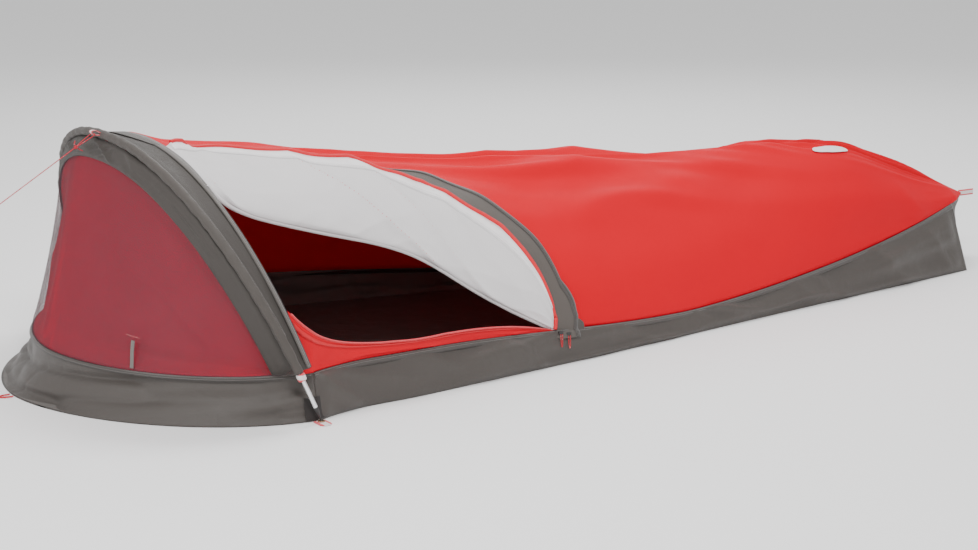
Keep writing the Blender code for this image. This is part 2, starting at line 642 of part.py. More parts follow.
# ---- canopy: near panel above the door and on to the foot, far panel from hoop to foot ----
roof_u = np.linspace(0.0, 1.0, 17)
rear_u = np.linspace(0.0, 1.0, 19)[1:]
v = np.linspace(0, 1, 13)
v_low = 0.012 + (0.985 - 0.012) * v
near_grid = np.concatenate([mesh_grid(roof_u, v_low, near_roof), mesh_grid(rear_u[:-1], v_low, near_rear)], 0)
near_grid[0] += np.array((0.004, 0.0, 0.0))
near_grid[:, :, 2] += 0.002
panel("canopy_near_panel", near_grid, RED)

FAR_A0 = 0.26


def far_skin(u, w):
    """Far side: u 0 at the strip's edge, 1 at the foot; w 0 low edge, 1 ridge."""
    L = low_side(u, HOOP_X - 0.012)
    R = ridge(-0.955 + (FOOT_POINT[0] + 0.955) * u)
    skin = columns(L, R, w, skin_power(R[..., 0]))
    a = FAR_A0 + (math.pi / 2 - FAR_A0) * w
    edge = zip_edge(a)
    first = (1 - np.clip(u / 0.16, 0, 1)) ** 2
    L0, R0 = low_side(0 * u, HOOP_X - 0.012), ridge(-0.955 + 0 * u)
    skin0 = columns(L0, R0, w, skin_power(R0[..., 0]))
    return skin + (edge - skin0) * first[..., None]


far_u = np.linspace(0.0, 1.0, 25)[:-1]
far_u[0] = 0.003
far_grid = mirrored(mesh_grid(far_u, v_low, far_skin))
far_grid[:, :, 2] += 0.002
panel("canopy_far_panel", far_grid, RED)

patch_t = np.linspace(-0.97, 0.97, 11)
patch_w = PATCH_HALF_WIDTH * np.sqrt(1 - patch_t ** 2)
patch_v = PATCH_V + patch_w[:, None] * np.linspace(-1, 1, 4)
patch_grid = near_rear(np.repeat((PATCH_U + PATCH_HALF_LENGTH * patch_t)[:, None], 4, 1), patch_v)
patch_grid[:, :, 2] += 0.002
panel("foot_patch", patch_grid, PALE, shift=0.0036, thick=0.0012)

# ---- door: folded back over the roof, its lining outward; storm flap and zip tape on its free edge ----
AXIS_T, E1, E2, E3 = door_axes()


def door_sq(P):
    D = P - AXIS_T
    return D @ E1, D @ E2


def reach(u, edge, top=0.985):
    """How far up the roof an edge lies at each u, as v."""
    vs = np.linspace(0, top, 241)
    out = []
    for k in u:
        s, q = door_sq(near_roof(np.full_like(vs, k), vs))
        hit = q >= edge(s)
        out.append(vs[np.argmax(hit)] if hit.any() else top)
    return np.array(out)


door_u = np.linspace(0.02, 0.985, 25)
free_v = reach(door_u, free_line)


def lifted(U, V, lift):
    P = near_roof(U, V)
    d = 1e-3
    n = np.cross(near_roof(U + d, V) - near_roof(U - d, V), near_roof(U, V + d) - near_roof(U, V - d))
    n /= np.linalg.norm(n, axis=-1, keepdims=True)
    n *= np.sign(n[..., 2:3])
    return P + n * lift


def band_grid(u, v0, v1, count, lift):
    t = np.linspace(0, 1, count)
    V = v0[:, None] * (1 - t) + v1[:, None] * t
    return lifted(np.repeat(u[:, None], count, 1), V, lift)


lift = np.full((len(door_u), 1, 1), DOOR_LIFT)
panel("door_panel", band_grid(door_u, np.full_like(door_u, 0.02), np.maximum(free_v - 0.02, 0.05), 7, lift), PALE)
panel("zip_tape_door", band_grid(door_u[1:], np.maximum(free_v[1:] - 0.075, 0.03), np.maximum(free_v[1:] - 0.025, 0.06), 2, lift[1:] + 0.0028), BLACK, thick=0.0011)
storm_u = np.linspace(0.46, 0.985, 15)
storm_in = np.maximum(reach(storm_u, free_line) - 0.012, 0.06)
storm_out = np.maximum(reach(storm_u, storm_line), storm_in + 0.05)
storm_flap = band_grid(storm_u, storm_in, storm_out, 4, np.full((len(storm_u), 1, 1), DOOR_LIFT))
panel("storm_flap", storm_flap, GREY, shift=0.0)

# ---- zip sliders and their pulls, parked at the foot end of the sill ----
SLIDE_FROM, SLIDE_TO = sill_top(np.array(SLIDER_X)), sill_top(np.array(SLIDER_X - 0.30))
SLIDE_DIR = (SLIDE_TO - SLIDE_FROM) / np.linalg.norm(SLIDE_TO - SLIDE_FROM)
for name, x in (("lower", SLIDER_X), ("upper", SLIDER_X + 0.020)):
    P = sill_top(np.array(x)) + np.array((0.0, -0.0108, -0.0015))
    block("zip_slider_" + name, P - np.array((0.0050, 0.0020, 0.0035)), P + np.array((0.0050, 0.0020, 0.0035)), BLACK, rough=0.4)
    eye = P + np.array((0.0, -0.0024, -0.0024))
    t = np.linspace(0, 1, 13)
    hang = np.stack([eye[0] + 0.0022 * np.cos(t * math.pi), eye[1] - 0.0008 - 0.002 * np.sin(t * math.pi), eye[2] - 0.0260 * np.sin(t * math.pi) ** 0.7], 1)
    tube("zip_pull_" + name, hang, 0.0008, RED, sides=6, rough=0.8)

# ---- guy tab on top of the hoop, guyline with its eye, knot and end loop ----
TOP = hoop(np.array(math.pi / 2))
TAB_DIR = np.array((-0.95, 0.0, 0.31)) / math.hypot(0.95, 0.31)
TAB = TOP + TAB_DIR * (SLEEVE_R + 0.0086)
tube("hoop_guy_tab", [TAB + np.array((0, y, 0)) for y in (-0.006, 0.0, 0.006)], 0.0080, PALE, bore=0.0066, sides=14, rough=0.8)
GUY_DIR = np.array((-1.0, 0.0, -0.61)) / math.hypot(1, 0.61)
KNOT = TAB + GUY_DIR * 0.045
GUY_END = np.array((-1.290, 0.0, 0.0)) + np.array((0, 0, TAB[2] + (TAB[0] + 1.290) * GUY_DIR[2] / -GUY_DIR[0]))
side = np.array((0.0, 1.0, 0.0))
eye = [KNOT + GUY_DIR * 0.001 + side * 0.0010, KNOT - GUY_DIR * 0.008 + side * 0.0035, KNOT - GUY_DIR * 0.022 + side * 0.0068,
       TAB + GUY_DIR * 0.011 + side * 0.0085, TAB + GUY_DIR * 0.0050 + side * 0.0080, TAB + GUY_DIR * 0.0035 + side * 0.0040, TAB + GUY_DIR * 0.0035,
       TAB + GUY_DIR * 0.0035 - side * 0.0040, TAB + GUY_DIR * 0.0050 - side * 0.0080, TAB + GUY_DIR * 0.011 - side * 0.0085,
       KNOT - GUY_DIR * 0.022 - side * 0.0068, KNOT - GUY_DIR * 0.008 - side * 0.0035, KNOT + GUY_DIR * 0.001 - side * 0.0010]
run = [KNOT + GUY_DIR * k for k in np.linspace(0.006, np.linalg.norm(GUY_END - KNOT) - 0.006, 20)]


def cord_curve(name, points, radius, color, cyclic=False):
    c = bpy.data.curves.new(name + "_path", "CURVE")
    c.dimensions = "3D"
    sp = c.splines.new("POLY")
    sp.points.add(len(points) - 1)
    for p, q in zip(sp.points, points):
        p.co = (*q, 1)
    sp.use_cyclic_u = cyclic
    c.bevel_depth = radius
    c.bevel_resolution = 2
    c.use_fill_caps = True
    ob = bpy.data.objects.new(name, c)
    c.materials.append(material(name + "_finish", color, 0.8))
    bpy.context.scene.collection.objects.link(ob)
    return ob


cord_curve("guyline", eye[:1] + eye[1:] + run, GUY_R, RED)

# a round knot wrapped by two turns, and the loop at the far end of the line
turn = np.linspace(0, 2 * math.pi, 17)[:-1]
across = np.cross(GUY_DIR, side)
knot = [KNOT + GUY_DIR * (0.0035 + 0.0016 * math.sin(2 * t)) + (side * math.cos(t) + across * math.sin(t)) * 0.0030 for t in turn]
cord_curve("guyline_knot", knot, 0.0009, RED, cyclic=True)
LOOP_C = GUY_END + GUY_DIR * 0.0105
loop = [LOOP_C + (GUY_DIR * math.cos(t) + side * math.sin(t)) * 0.0095 for t in turn]
cord_curve("guyline_end_loop", loop, GUY_R, RED, cyclic=True)
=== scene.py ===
"""Bivy sack: the looks. Cloth sheets, webbing, zips, cords, materials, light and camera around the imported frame."""
import math

import bpy
import bmesh
import numpy as np
from mathutils import Vector, Matrix


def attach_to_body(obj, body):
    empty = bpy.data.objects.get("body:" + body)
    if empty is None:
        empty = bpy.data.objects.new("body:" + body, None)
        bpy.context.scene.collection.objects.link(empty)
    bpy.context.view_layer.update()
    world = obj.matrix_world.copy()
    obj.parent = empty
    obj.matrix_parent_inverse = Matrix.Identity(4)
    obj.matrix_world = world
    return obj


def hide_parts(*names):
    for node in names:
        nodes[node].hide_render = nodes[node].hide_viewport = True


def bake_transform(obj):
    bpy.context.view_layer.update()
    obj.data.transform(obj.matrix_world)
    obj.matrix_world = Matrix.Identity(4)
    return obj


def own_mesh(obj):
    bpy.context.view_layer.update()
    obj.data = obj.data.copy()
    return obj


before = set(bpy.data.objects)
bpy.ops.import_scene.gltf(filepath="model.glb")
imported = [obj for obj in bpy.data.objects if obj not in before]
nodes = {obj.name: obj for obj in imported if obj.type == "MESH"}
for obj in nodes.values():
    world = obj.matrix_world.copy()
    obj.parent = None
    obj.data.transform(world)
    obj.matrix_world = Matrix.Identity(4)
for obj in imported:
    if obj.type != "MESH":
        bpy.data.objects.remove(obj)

# ---- the sack's curves, as in the CAD ----
FLOOR_HEAD_X = -1.222      # tip of the tub floor at the head
FLOOR_FOOT_X = 1.111       # straight foot edge of the floor
FLOOR_FOOT_HALF = 0.136
HOOP_X = -0.808            # line through both pole feet
HOOP_HALF = 0.474          # half the distance between pole feet
HOOP_RISE = 0.530          # hoop height in its own plane
HOOP_LEAN = math.radians(23.5)
HOOP_POWER = 2.28          # squareness of the hoop curve
TUB_HEAD_HALF = 0.452      # half width of the tub at the hoop
TUB_TOP_HEAD_X = -1.150
TUB_TOP_HALF = 0.440
FOOT_POINT = (1.212, 0.0, 0.157)   # where the foot tab pulls the canopy out
DOOR_FOOT = (-0.205, -0.337, 0.066)

def arr(*v):
    return np.array(v, float)

def ramp(x, x0, x1):
    """Soft step: 0 before x0, 1 after x1."""
    t = np.clip((np.asarray(x, float) - x0) / (x1 - x0), 0, 1)
    return t * t * (3 - 2 * t)

def swell(x, at, spread):
    """Rounded bump, 1 at its middle."""
    return np.exp(-((np.asarray(x, float) - at) / spread) ** 2)

def hoop(a, rise=0.0):
    """Point on the hoop; a runs 0 near foot, pi/2 top, pi far foot. rise grows the curve outward."""
    a = np.asarray(a, float)
    c, s = np.cos(a), np.sin(a)
    y = -(HOOP_HALF + rise) * np.sign(c) * np.abs(c) ** (2 / HOOP_POWER)
    h = (HOOP_RISE + rise) * np.abs(s) ** (2 / HOOP_POWER)
    return np.stack([HOOP_X - h * math.sin(HOOP_LEAN), y, h * math.cos(HOOP_LEAN)], -1)

def head_edge(a, x0, half, power, x1=HOOP_X):
    """Rounded head outline; a as on the hoop, so pi/2 is the tip."""
    a = np.asarray(a, float)
    c, s = np.cos(a), np.sin(a)
    x = x1 - (x1 - x0) * np.abs(s) ** (2 / power)
    y = -half * np.sign(c) * np.abs(c) ** (2 / power)
    return x, y

def tub_base_head(a):
    x, y = head_edge(a, FLOOR_HEAD_X, TUB_HEAD_HALF + 0.010, 1.81)
    return np.stack([x, y, 0 * x], -1)

def tub_top_head(a):
    x, y = head_edge(a, TUB_TOP_HEAD_X, TUB_TOP_HALF, 1.84)
    z = 0.083 + 0.004 * (np.abs(y) / TUB_TOP_HALF) ** 2
    return np.stack([x, y, z], -1)

BASE_TAPER = 0.167         # the floor's half width lost per metre toward the foot
BASE_BELLY = 0.006         # cloth eased out beside the hips
BASE_WAIST = 0.012         # cloth drawn in just behind the pole feet
BASE_FLARE = 0.0083        # and let out again at the pole feet
def base_half(x):
    """Half width of the floor behind the hoop: a straight taper, drawn in beside the pole feet."""
    x = np.asarray(x, float)
    return (FLOOR_FOOT_HALF + BASE_TAPER * (FLOOR_FOOT_X - x) + BASE_BELLY * swell(x, -0.10, 0.30)
            - BASE_WAIST * swell(x, -0.70, 0.09) + BASE_FLARE * np.exp(-np.maximum(x - HOOP_X, 0) / 0.03))

TUB_SIDE_HEAD = 0.086      # tub wall height beside the hoop
TUB_SIDE_LOW = 0.048       # and where it is lowest, beside the hips
TUB_FOOT_RISE = 0.110      # it climbs again toward the foot tab
def top_height(x):
    x = np.asarray(x, float)
    return TUB_SIDE_HEAD + (TUB_SIDE_LOW - TUB_SIDE_HEAD) * ramp(x, -0.60, 0.20) + TUB_FOOT_RISE * np.maximum(x - 0.15, 0) ** 1.7

def tub_base_side(x):
    x = np.asarray(x, float)
    return np.stack([x, -base_half(x), 0 * x], -1)

def tub_top_side(x):
    x = np.asarray(x, float)
    z = top_height(x)
    lean = 0.25 + 0.20 * np.clip((x - 0.6) / 0.54, 0, 1) ** 2
    return np.stack([x, -(base_half(x) - lean * z), z], -1)

RIDGE_HEAD = (-0.95, 0.476)    # ridge at the hoop
RIDGE_TOES = (0.76, 0.322)     # ridge over the toes, held up by what lies inside
RIDGE_SAG = 0.028              # the ridge hangs this far below the straight line between them
RIDGE_ROUND = 0.010            # how softly it turns down over the toes
def ridge_z(x):
    """Ridge height: a slack line from the hoop to the toes, then a straight run down to the foot point."""
    x = np.asarray(x, float)
    t = (x - RIDGE_HEAD[0]) / (RIDGE_TOES[0] - RIDGE_HEAD[0])
    line = RIDGE_HEAD[1] + (RIDGE_TOES[1] - RIDGE_HEAD[1]) * t - 4 * RIDGE_SAG * np.clip(t, 0, 1) * (1 - np.clip(t, 0, 1)) ** 0.9
    run = FOOT_POINT[2] + 0.420 * (FOOT_POINT[0] - x)
    return -RIDGE_ROUND * np.log(np.exp(-line / RIDGE_ROUND) + np.exp(-run / RIDGE_ROUND))

def share(P):
    """Height of a hoop point as a share of the top's height."""
    return np.clip(P[..., 2] / (HOOP_RISE * math.cos(HOOP_LEAN)), 0, 1)

def toward_foot(H):
    d = np.array(FOOT_POINT) - H
    return d / np.linalg.norm(d, axis=-1, keepdims=True)

def strip_width(H):
    return 0.022 + 0.050 * share(H) ** 1.3

def strip(a, f):
    """Grey strip behind the hoop: f 0 on the hoop line, 1 on the zip edge."""
    H = hoop(a)
    return H + toward_foot(H) * (strip_width(H) * f)[..., None]

def zip_edge(a):
    return strip(a, np.ones_like(np.asarray(a, float)))

def head_skin(a, r):
    """Head surface: r 0 on the hoop line, 1 on the tub's top edge."""
    r = np.asarray(r, float)[..., None]
    return hoop(a) * (1 - r) + tub_top_head(a) * r

def band_share(a):
    """Share of the head surface that the grey band takes."""
    H = hoop(a)
    return (0.076 - 0.027 * share(H)) / np.linalg.norm(H - tub_top_head(a), axis=-1)

DOOR_TOP_ANGLE = 1.20

def columns(L, R, v, n):
    """Skin between a low edge L and the ridge R; v 0 low, 1 ridge; n 1 is flat, 2 a quarter ellipse."""
    phi = np.clip(np.asarray(v, float), 0, 1) * math.pi / 2
    c, s = np.cos(phi) ** (2 / n), np.sin(phi) ** (2 / n)
    x = R[..., 0] + (L[..., 0] - R[..., 0]) * c
    y = R[..., 1] + (L[..., 1] - R[..., 1]) * c
    z = L[..., 2] + (R[..., 2] - L[..., 2]) * s
    return np.stack([x, y, z], -1)

def ridge(x):
    x = np.asarray(x, float)
    return np.stack([x, 0 * x, ridge_z(x)], -1)

ROOF_POWER = 1.55
DOOR_RIDGE_X = 0.10        # ridge station above the door's foot corner
def door_top():
    return zip_edge(np.array([DOOR_TOP_ANGLE]))[0]

def chord(u):
    u = np.asarray(u, float)[..., None]
    return door_top() * (1 - u) + np.array(DOOR_FOOT) * u

FOLD_START = 1.033         # where the door's fold meets the zip edge, as an angle on the hoop
FOLD_HEAD = 0.034          # the fold starts this far along the hinge line
FOLD_DIP = 0.064           # and this far below it
FOLD_CROWN = 0.034         # it rises over the hinge line by this much beside the chest
FREE_DEPTH = 0.238         # depth of the folded door, hinge line to free edge
FREE_NOSE = 0.60           # share of the depth lost where the free edge starts at the hoop
STORM_DEPTH = 0.256        # storm flap's outer edge above the hinge line
def door_length():
    return float(np.linalg.norm(np.array(DOOR_FOOT) - door_top()))

def fold_line(s):
    """Fold of the door, as height above the hinge line at a length s along it."""
    return -FOLD_DIP * (1 - ramp(s, 0.05, 0.43)) + FOLD_CROWN * swell(s, 0.51, 0.135) * (1 - ramp(s, 0.70, door_length()))

def free_line(s):
    """Free edge of the folded door: rises off the hoop, runs level, then rounds down to the door's foot."""
    s = np.asarray(s, float)
    close = np.clip(s / (door_length() - 0.003), 0, 1) ** 4.5
    return FREE_DEPTH * (1 - FREE_NOSE * np.exp(-s / 0.13)) * (1 - close) + 0.010 * swell(s, 0.385, 0.05) - 0.006 * swell(s, 0.28, 0.04)

def storm_line(s):
    """Outer edge of the storm flap."""
    s = np.asarray(s, float)
    return STORM_DEPTH * (1 - (np.clip(s - 0.36, 0, None) / 0.54) ** 2.3)


def plain_roof(u, v):
    u = np.asarray(u, float)
    x0 = -0.957
    return columns(chord(u), ridge(x0 + (DOOR_RIDGE_X - x0) * u), v, ROOF_POWER)


def door_axes():
    """The door's hinge line: its start, unit vectors along it, up the roof and outward."""
    T, F = door_top(), np.array(DOOR_FOOT)
    e1 = (F - T) / np.linalg.norm(F - T)
    m = plain_roof(np.array(0.45), np.array(0.6)) - T
    e2 = m - (m @ e1) * e1
    e2 /= np.linalg.norm(e2)
    e3 = np.cross(e1, e2)
    return T, e1, e2, e3 * np.sign(e3[2])


def fold_edge(u):
    """The near roof's low edge, where the door folds back; u 0 at the hoop, 1 at the door's foot."""
    T, e1, e2, e3 = door_axes()
    s = FOLD_HEAD + (door_length() - FOLD_HEAD) * np.asarray(u, float)
    q = fold_line(s)
    z = 0.025 * (1 - np.clip((s - FOLD_HEAD) / 0.08, 0, 1)) ** 2
    return T + s[..., None] * e1 + q[..., None] * e2 + z[..., None] * e3


def near_roof(u, v):
    u = np.asarray(u, float)
    x0 = -0.957
    P = columns(fold_edge(u), ridge(x0 + (DOOR_RIDGE_X - x0) * u), v, ROOF_POWER)
    w = np.clip(np.asarray(v, float), 0, 1)
    P0 = columns(fold_edge(0 * u), ridge(x0 + 0 * u), w, ROOF_POWER)
    edge = zip_edge(FOLD_START + (math.pi / 2 - FOLD_START) * w)
    first = (1 - np.clip(u / 0.16, 0, 1)) ** 2
    return P + (edge - P0) * first[..., None]


def skin_power(x):
    """Roundness of the skin's cross-section: full at the hoop, slack along the body, lifted over the toes."""
    return 1.7 + 0.5 * (1 - ramp(x, -1.0, -0.2)) + 0.2 * swell(x, 0.8, 0.18) - 0.4 * ramp(x, 0.9, 1.3)

def low_side(u, x0):
    """Tub top edge from x0 on to the foot point, near side."""
    u = np.asarray(u, float)
    x = x0 + (1.14 - x0) * np.clip(u / 0.93, 0, 1)
    P = tub_top_side(x)
    k = np.clip((u - 0.93) / 0.07, 0, 1)[..., None]
    return P * (1 - k) + np.array(FOOT_POINT) * k

def near_rear(u, v):
    u = np.asarray(u, float)
    L = low_side(u, DOOR_FOOT[0])
    first = (1 - np.clip(u / 0.12, 0, 1)) ** 2
    L = L + (np.array(DOOR_FOOT) - tub_top_side(np.array(DOOR_FOOT[0]))) * first[..., None]
    R = ridge(DOOR_RIDGE_X + (FOOT_POINT[0] - DOOR_RIDGE_X) * u)
    n = ROOF_POWER + (skin_power(R[..., 0]) - ROOF_POWER) * np.clip(u / 0.5, 0, 1)
    return columns(L, R, v, n)

SILL_HIGH = 0.106          # sill height along the mouth
SILL_SWEEP = 0.104         # it sweeps up this much where it meets the hoop
SILL_END_DROP = 0.040      # and falls away to the door's foot
def sill_top(x):
    x = np.asarray(x, float)
    z = (SILL_HIGH + SILL_SWEEP * np.exp(-(x + 0.857) / 0.080)
         - SILL_END_DROP * (np.clip(x + 0.50, 0, None) / (DOOR_FOOT[0] + 0.50)) ** 2)
    y = -(np.where(x > HOOP_X, base_half(np.maximum(x, HOOP_X)), 0.462) - (0.12 + 0.18 * np.clip((x + 0.45) / 0.25, 0, 1)) * z)
    return np.stack([x, y, z], -1)

SLEEVE_R = 0.0085
FOOT_AXIS_Z = 0.0046
FOOT_X = HOOP_X - FOOT_AXIS_Z * math.tan(HOOP_LEAN)
DOOR_LIFT = 0.0085

# ---- camera, first ----
CAM_AZ, CAM_EL = -0.5603, 0.2171
cam_data = bpy.data.cameras.new("view")
cam_data.lens = 83.78
cam_data.sensor_width = 36.0
cam = bpy.data.objects.new("view", cam_data)
bpy.context.scene.collection.objects.link(cam)
fwd = Vector((-math.sin(CAM_AZ) * math.cos(CAM_EL), math.cos(CAM_AZ) * math.cos(CAM_EL), -math.sin(CAM_EL)))
cam.location = (-2.6784, -4.0283, 1.1594)
cam.rotation_euler = fwd.to_track_quat("-Z", "Y").to_euler()
bpy.context.scene.camera = cam


# ---- smooth noise for folds and creases ----
_tables = {}


def noise(x, y, seed):
    if seed not in _tables:
        _tables[seed] = np.random.RandomState(seed).rand(64, 64)
    tab = _tables[seed]
    x, y = np.broadcast_arrays(np.asarray(x, float), np.asarray(y, float))
    ix, iy = np.floor(x).astype(int), np.floor(y).astype(int)
    fx, fy = x - ix, y - iy
    fx, fy = fx * fx * fx * (fx * (fx * 6 - 15) + 10), fy * fy * fy * (fy * (fy * 6 - 15) + 10)
    a, b = tab[ix % 64, iy % 64], tab[(ix + 1) % 64, iy % 64]
    c, d = tab[ix % 64, (iy + 1) % 64], tab[(ix + 1) % 64, (iy + 1) % 64]
    return (a * (1 - fx) + b * fx) * (1 - fy) + (c * (1 - fx) + d * fx) * fy


def layers(x, y, seed, count=3):
    out, amp, total = 0.0, 1.0, 0.0
    for k in range(count):
        out = out + amp * noise(x * 2 ** k + 7.3 * k, y * 2 ** k + 3.1 * k, seed + k)
        total += amp
        amp *= 0.5
    return out / total


def ridged(x, y, seed, sharp=2.0):
    """Sharp-crested folds, 0 to 1."""
    return (1 - np.abs(2 * noise(x, y, seed) - 1)) ** sharp


def fade(t, a, b):
    t = np.clip((t - a) / (b - a), 0, 1)
    return t * t * (3 - 2 * t)


def softened(D, rounds):
    """A fold field with its stair steps rubbed out."""
    for _ in range(rounds):
        D = D.copy()
        D[1:-1] = 0.5 * D[1:-1] + 0.25 * (D[2:] + D[:-2])
        D[:, 1:-1] = 0.5 * D[:, 1:-1] + 0.25 * (D[:, 2:] + D[:, :-2])
    return D


def edge_mask(shape, wu=0.05, wv=0.08, sides="uvUV"):
    nu, nv = shape
    u, v = np.linspace(0, 1, nu)[:, None], np.linspace(0, 1, nv)[None, :]
    m = np.ones(shape)
    if "u" in sides:
        m = m * fade(u, 0, wu)
    if "U" in sides:
        m = m * fade(1 - u, 0, wu)
    if "v" in sides:
        m = m * fade(v, 0, wv)
    if "V" in sides:
        m = m * fade(1 - v, 0, wv)
    return m


# ---- cloth built as thin closed sheets ----
def normals(P):
    n = np.cross(np.gradient(P, axis=0), np.gradient(P, axis=1))
    return n / np.maximum(np.linalg.norm(n, axis=-1, keepdims=True), 1e-12)


def grid(us, vs, f):
    U, V = np.meshgrid(us, vs, indexing="ij")
    return f(U, V)


def mirrored(P):
    return P * np.array((1.0, -1.0, 1.0))


def lengths(P):
    """Distances along the rows and columns of a grid, for the weave's coordinates."""
    du = np.linalg.norm(np.diff(P, axis=0), axis=-1).mean(1)
    dv = np.linalg.norm(np.diff(P, axis=1), axis=-1)
    u = np.concatenate([[0], np.cumsum(du)])
    v = np.concatenate([np.zeros((P.shape[0], 1)), np.cumsum(dv, axis=1)], 1)
    return u[:, None] + 0 * v, v


def area_of(P):
    a, b, c, d = P[:-1, :-1], P[1:, :-1], P[1:, 1:], P[:-1, 1:]
    return float((np.linalg.norm(np.cross(b - a, c - a), axis=-1) + np.linalg.norm(np.cross(c - a, d - a), axis=-1)).sum() / 2)


def attach(ob, body):
    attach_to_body(ob, body)
    return ob


def new_mesh(name, verts, faces, mats, indices=None, uvs=None, smooth_faces=True):
    me = bpy.data.meshes.new(name)
    me.from_pydata([tuple(map(float, p)) for p in verts], [], faces)
    for m in mats:
        me.materials.append(m)
    if indices is not None:
        me.polygons.foreach_set("material_index", indices)
    if smooth_faces:
        me.polygons.foreach_set("use_smooth", [True] * len(faces))
    if uvs is not None:
        layer = me.uv_layers.new(name="weave")
        flat = np.zeros((len(me.loops), 2))
        vi = np.zeros(len(me.loops), int)
        me.loops.foreach_get("vertex_index", vi)
        flat[:] = np.asarray(uvs)[vi]
        layer.data.foreach_set("uv", flat.ravel())
    me.update()
    ob = bpy.data.objects.new(name, me)
    bpy.context.scene.collection.objects.link(ob)
    return ob


def sheet(name, P, outer, inner=None, thick=0.0009, shift=0.0, floor=None):
    """Closed thin sheet; outer on the side its normals point to, inner on the other."""
    n = normals(P)
    A, B = P + n * (shift + thick / 2), P + n * (shift - thick / 2)
    if floor is not None:
        A[..., 2] = np.maximum(A[..., 2], floor)
        B[..., 2] = np.maximum(B[..., 2], floor)
    m, k = P.shape[:2]
    idx = np.arange(m * k).reshape(m, k)
    faces, mat = [], []
    q = np.stack([idx[:-1, :-1], idx[1:, :-1], idx[1:, 1:], idx[:-1, 1:]], -1).reshape(-1, 4)
    faces += q.tolist()
    mat += [0] * len(q)
    faces += (q[:, ::-1] + m * k).tolist()
    mat += [1 if inner else 0] * len(q)
    ring = [idx[i, 0] for i in range(m)] + [idx[m - 1, j] for j in range(1, k)]
    ring += [idx[i, k - 1] for i in range(m - 2, -1, -1)] + [idx[0, j] for j in range(k - 2, 0, -1)]
    for a, b in zip(ring, ring[1:] + ring[:1]):
        faces.append([int(b), int(a), int(a + m * k), int(b + m * k)])
        mat.append(0)
    u, v = lengths(P)
    uv = np.stack([u, v], -1).reshape(-1, 2)
    ob = new_mesh(name, np.concatenate([A.reshape(-1, 3), B.reshape(-1, 3)]), faces, [outer] + ([inner] if inner else []), mat, np.concatenate([uv, uv]))
    ob["flat_area"] = area_of(P)
    along = np.linalg.norm(np.diff(P, axis=0), axis=2).sum(0).max()
    across = np.linalg.norm(np.diff(P, axis=1), axis=2).sum(1).max()
    ob["flat_length"], ob["flat_width"] = float(max(along, across)), float(min(along, across))
    return ob


def declare(ob, held, rests_on=(), **kw):
    """Works out the piece's blank: its longest run each way over its own surface, with a cut shape inside it of the
    surface's area; a crescent that fills too little of that blank is taken at its mean width. Nothing is kept: the
    piece comes back unchanged."""
    width, length, area = float(ob["flat_width"]), float(ob["flat_length"]), float(ob["flat_area"])
    if area < 0.32 * width * length:
        width = area / length
    return ob


def frames(path):
    t = np.gradient(path, axis=0)
    t /= np.linalg.norm(t, axis=1, keepdims=True)
    ref = np.array((1.0, 0.0, 0.0)) if abs(t[0][0]) < 0.8 else np.array((0.0, 0.0, 1.0))
    u = ref - t[0] * (ref @ t[0])
    us = []
    for k in range(len(path)):
        u = u - t[k] * (u @ t[k])
        u /= np.linalg.norm(u)
        us.append(u)
    us = np.array(us)
    return t, us, np.cross(t, us)


def tube(name, path, radius, mat, sides=16, bump=None, caps=True, closed=False):
    """Round or lumpy tube; radius may be one number per point, bump(s, angle) adds to it."""
    path = np.asarray(path, float)
    t, u, w = frames(path)
    s = np.concatenate([[0], np.cumsum(np.linalg.norm(np.diff(path, axis=0), axis=1))])
    ang = np.linspace(0, 2 * math.pi, sides, endpoint=False)
    r = np.broadcast_to(np.asarray(radius, float).reshape(-1, 1), (len(path), sides)).copy()
    if bump is not None:
        r += bump(s[:, None], ang[None, :])
    V = path[:, None] + r[..., None] * (np.cos(ang)[None, :, None] * u[:, None] + np.sin(ang)[None, :, None] * w[:, None])
    m = len(path)
    idx = np.arange(m * sides).reshape(m, sides)
    faces = []
    for i in range(m if closed else m - 1):
        a, b = idx[i], idx[(i + 1) % m]
        for j in range(sides):
            k = (j + 1) % sides
            faces.append([int(a[j]), int(a[k]), int(b[k]), int(b[j])])
    if caps and not closed:
        faces += [idx[0][::-1].tolist(), idx[-1].tolist()]
    uv = np.stack([np.broadcast_to(s[:, None], (m, sides)), np.broadcast_to(ang[None, :] * float(np.mean(r)), (m, sides))], -1).reshape(-1, 2)
    return new_mesh(name, V.reshape(-1, 3), faces, [mat], None, uv)


# ---- materials ----
class Nodes:
    def __init__(self, name):
        self.m = bpy.data.materials.new(name)
        self.m.use_nodes = True
        self.t = self.m.node_tree
        self.bsdf = self.t.nodes["Principled BSDF"]
        self.out = self.t.nodes["Material Output"]

    def add(self, kind, **kw):
        n = self.t.nodes.new(kind)
        for k, v in kw.items():
            if k in n.inputs:
                n.inputs[k].default_value = v
            else:
                setattr(n, k, v)
        return n

    def link(self, a, b):
        self.t.links.new(a, b)

    def math(self, op, a, b=None, clamp=False):
        n = self.add("ShaderNodeMath", operation=op, use_clamp=clamp)
        for i, x in enumerate((a, b)):
            if x is None:
                continue
            if isinstance(x, (int, float)):
                n.inputs[i].default_value = x
            else:
                self.link(x, n.inputs[i])
        return n.outputs[0]

    def mix(self, fac, a, b):
        n = self.add("ShaderNodeMix", data_type="RGBA")
        for s, x in ((n.inputs["Factor"], fac), (n.inputs[6], a), (n.inputs[7], b)):
            if isinstance(x, (int, float)):
                s.default_value = x
            elif isinstance(x, tuple):
                s.default_value = (*x, 1) if len(x) == 3 else x
            else:
                self.link(x, s)
        return n.outputs[2]


def scaled(c, k):
    return tuple(min(1.0, x * k) for x in c)


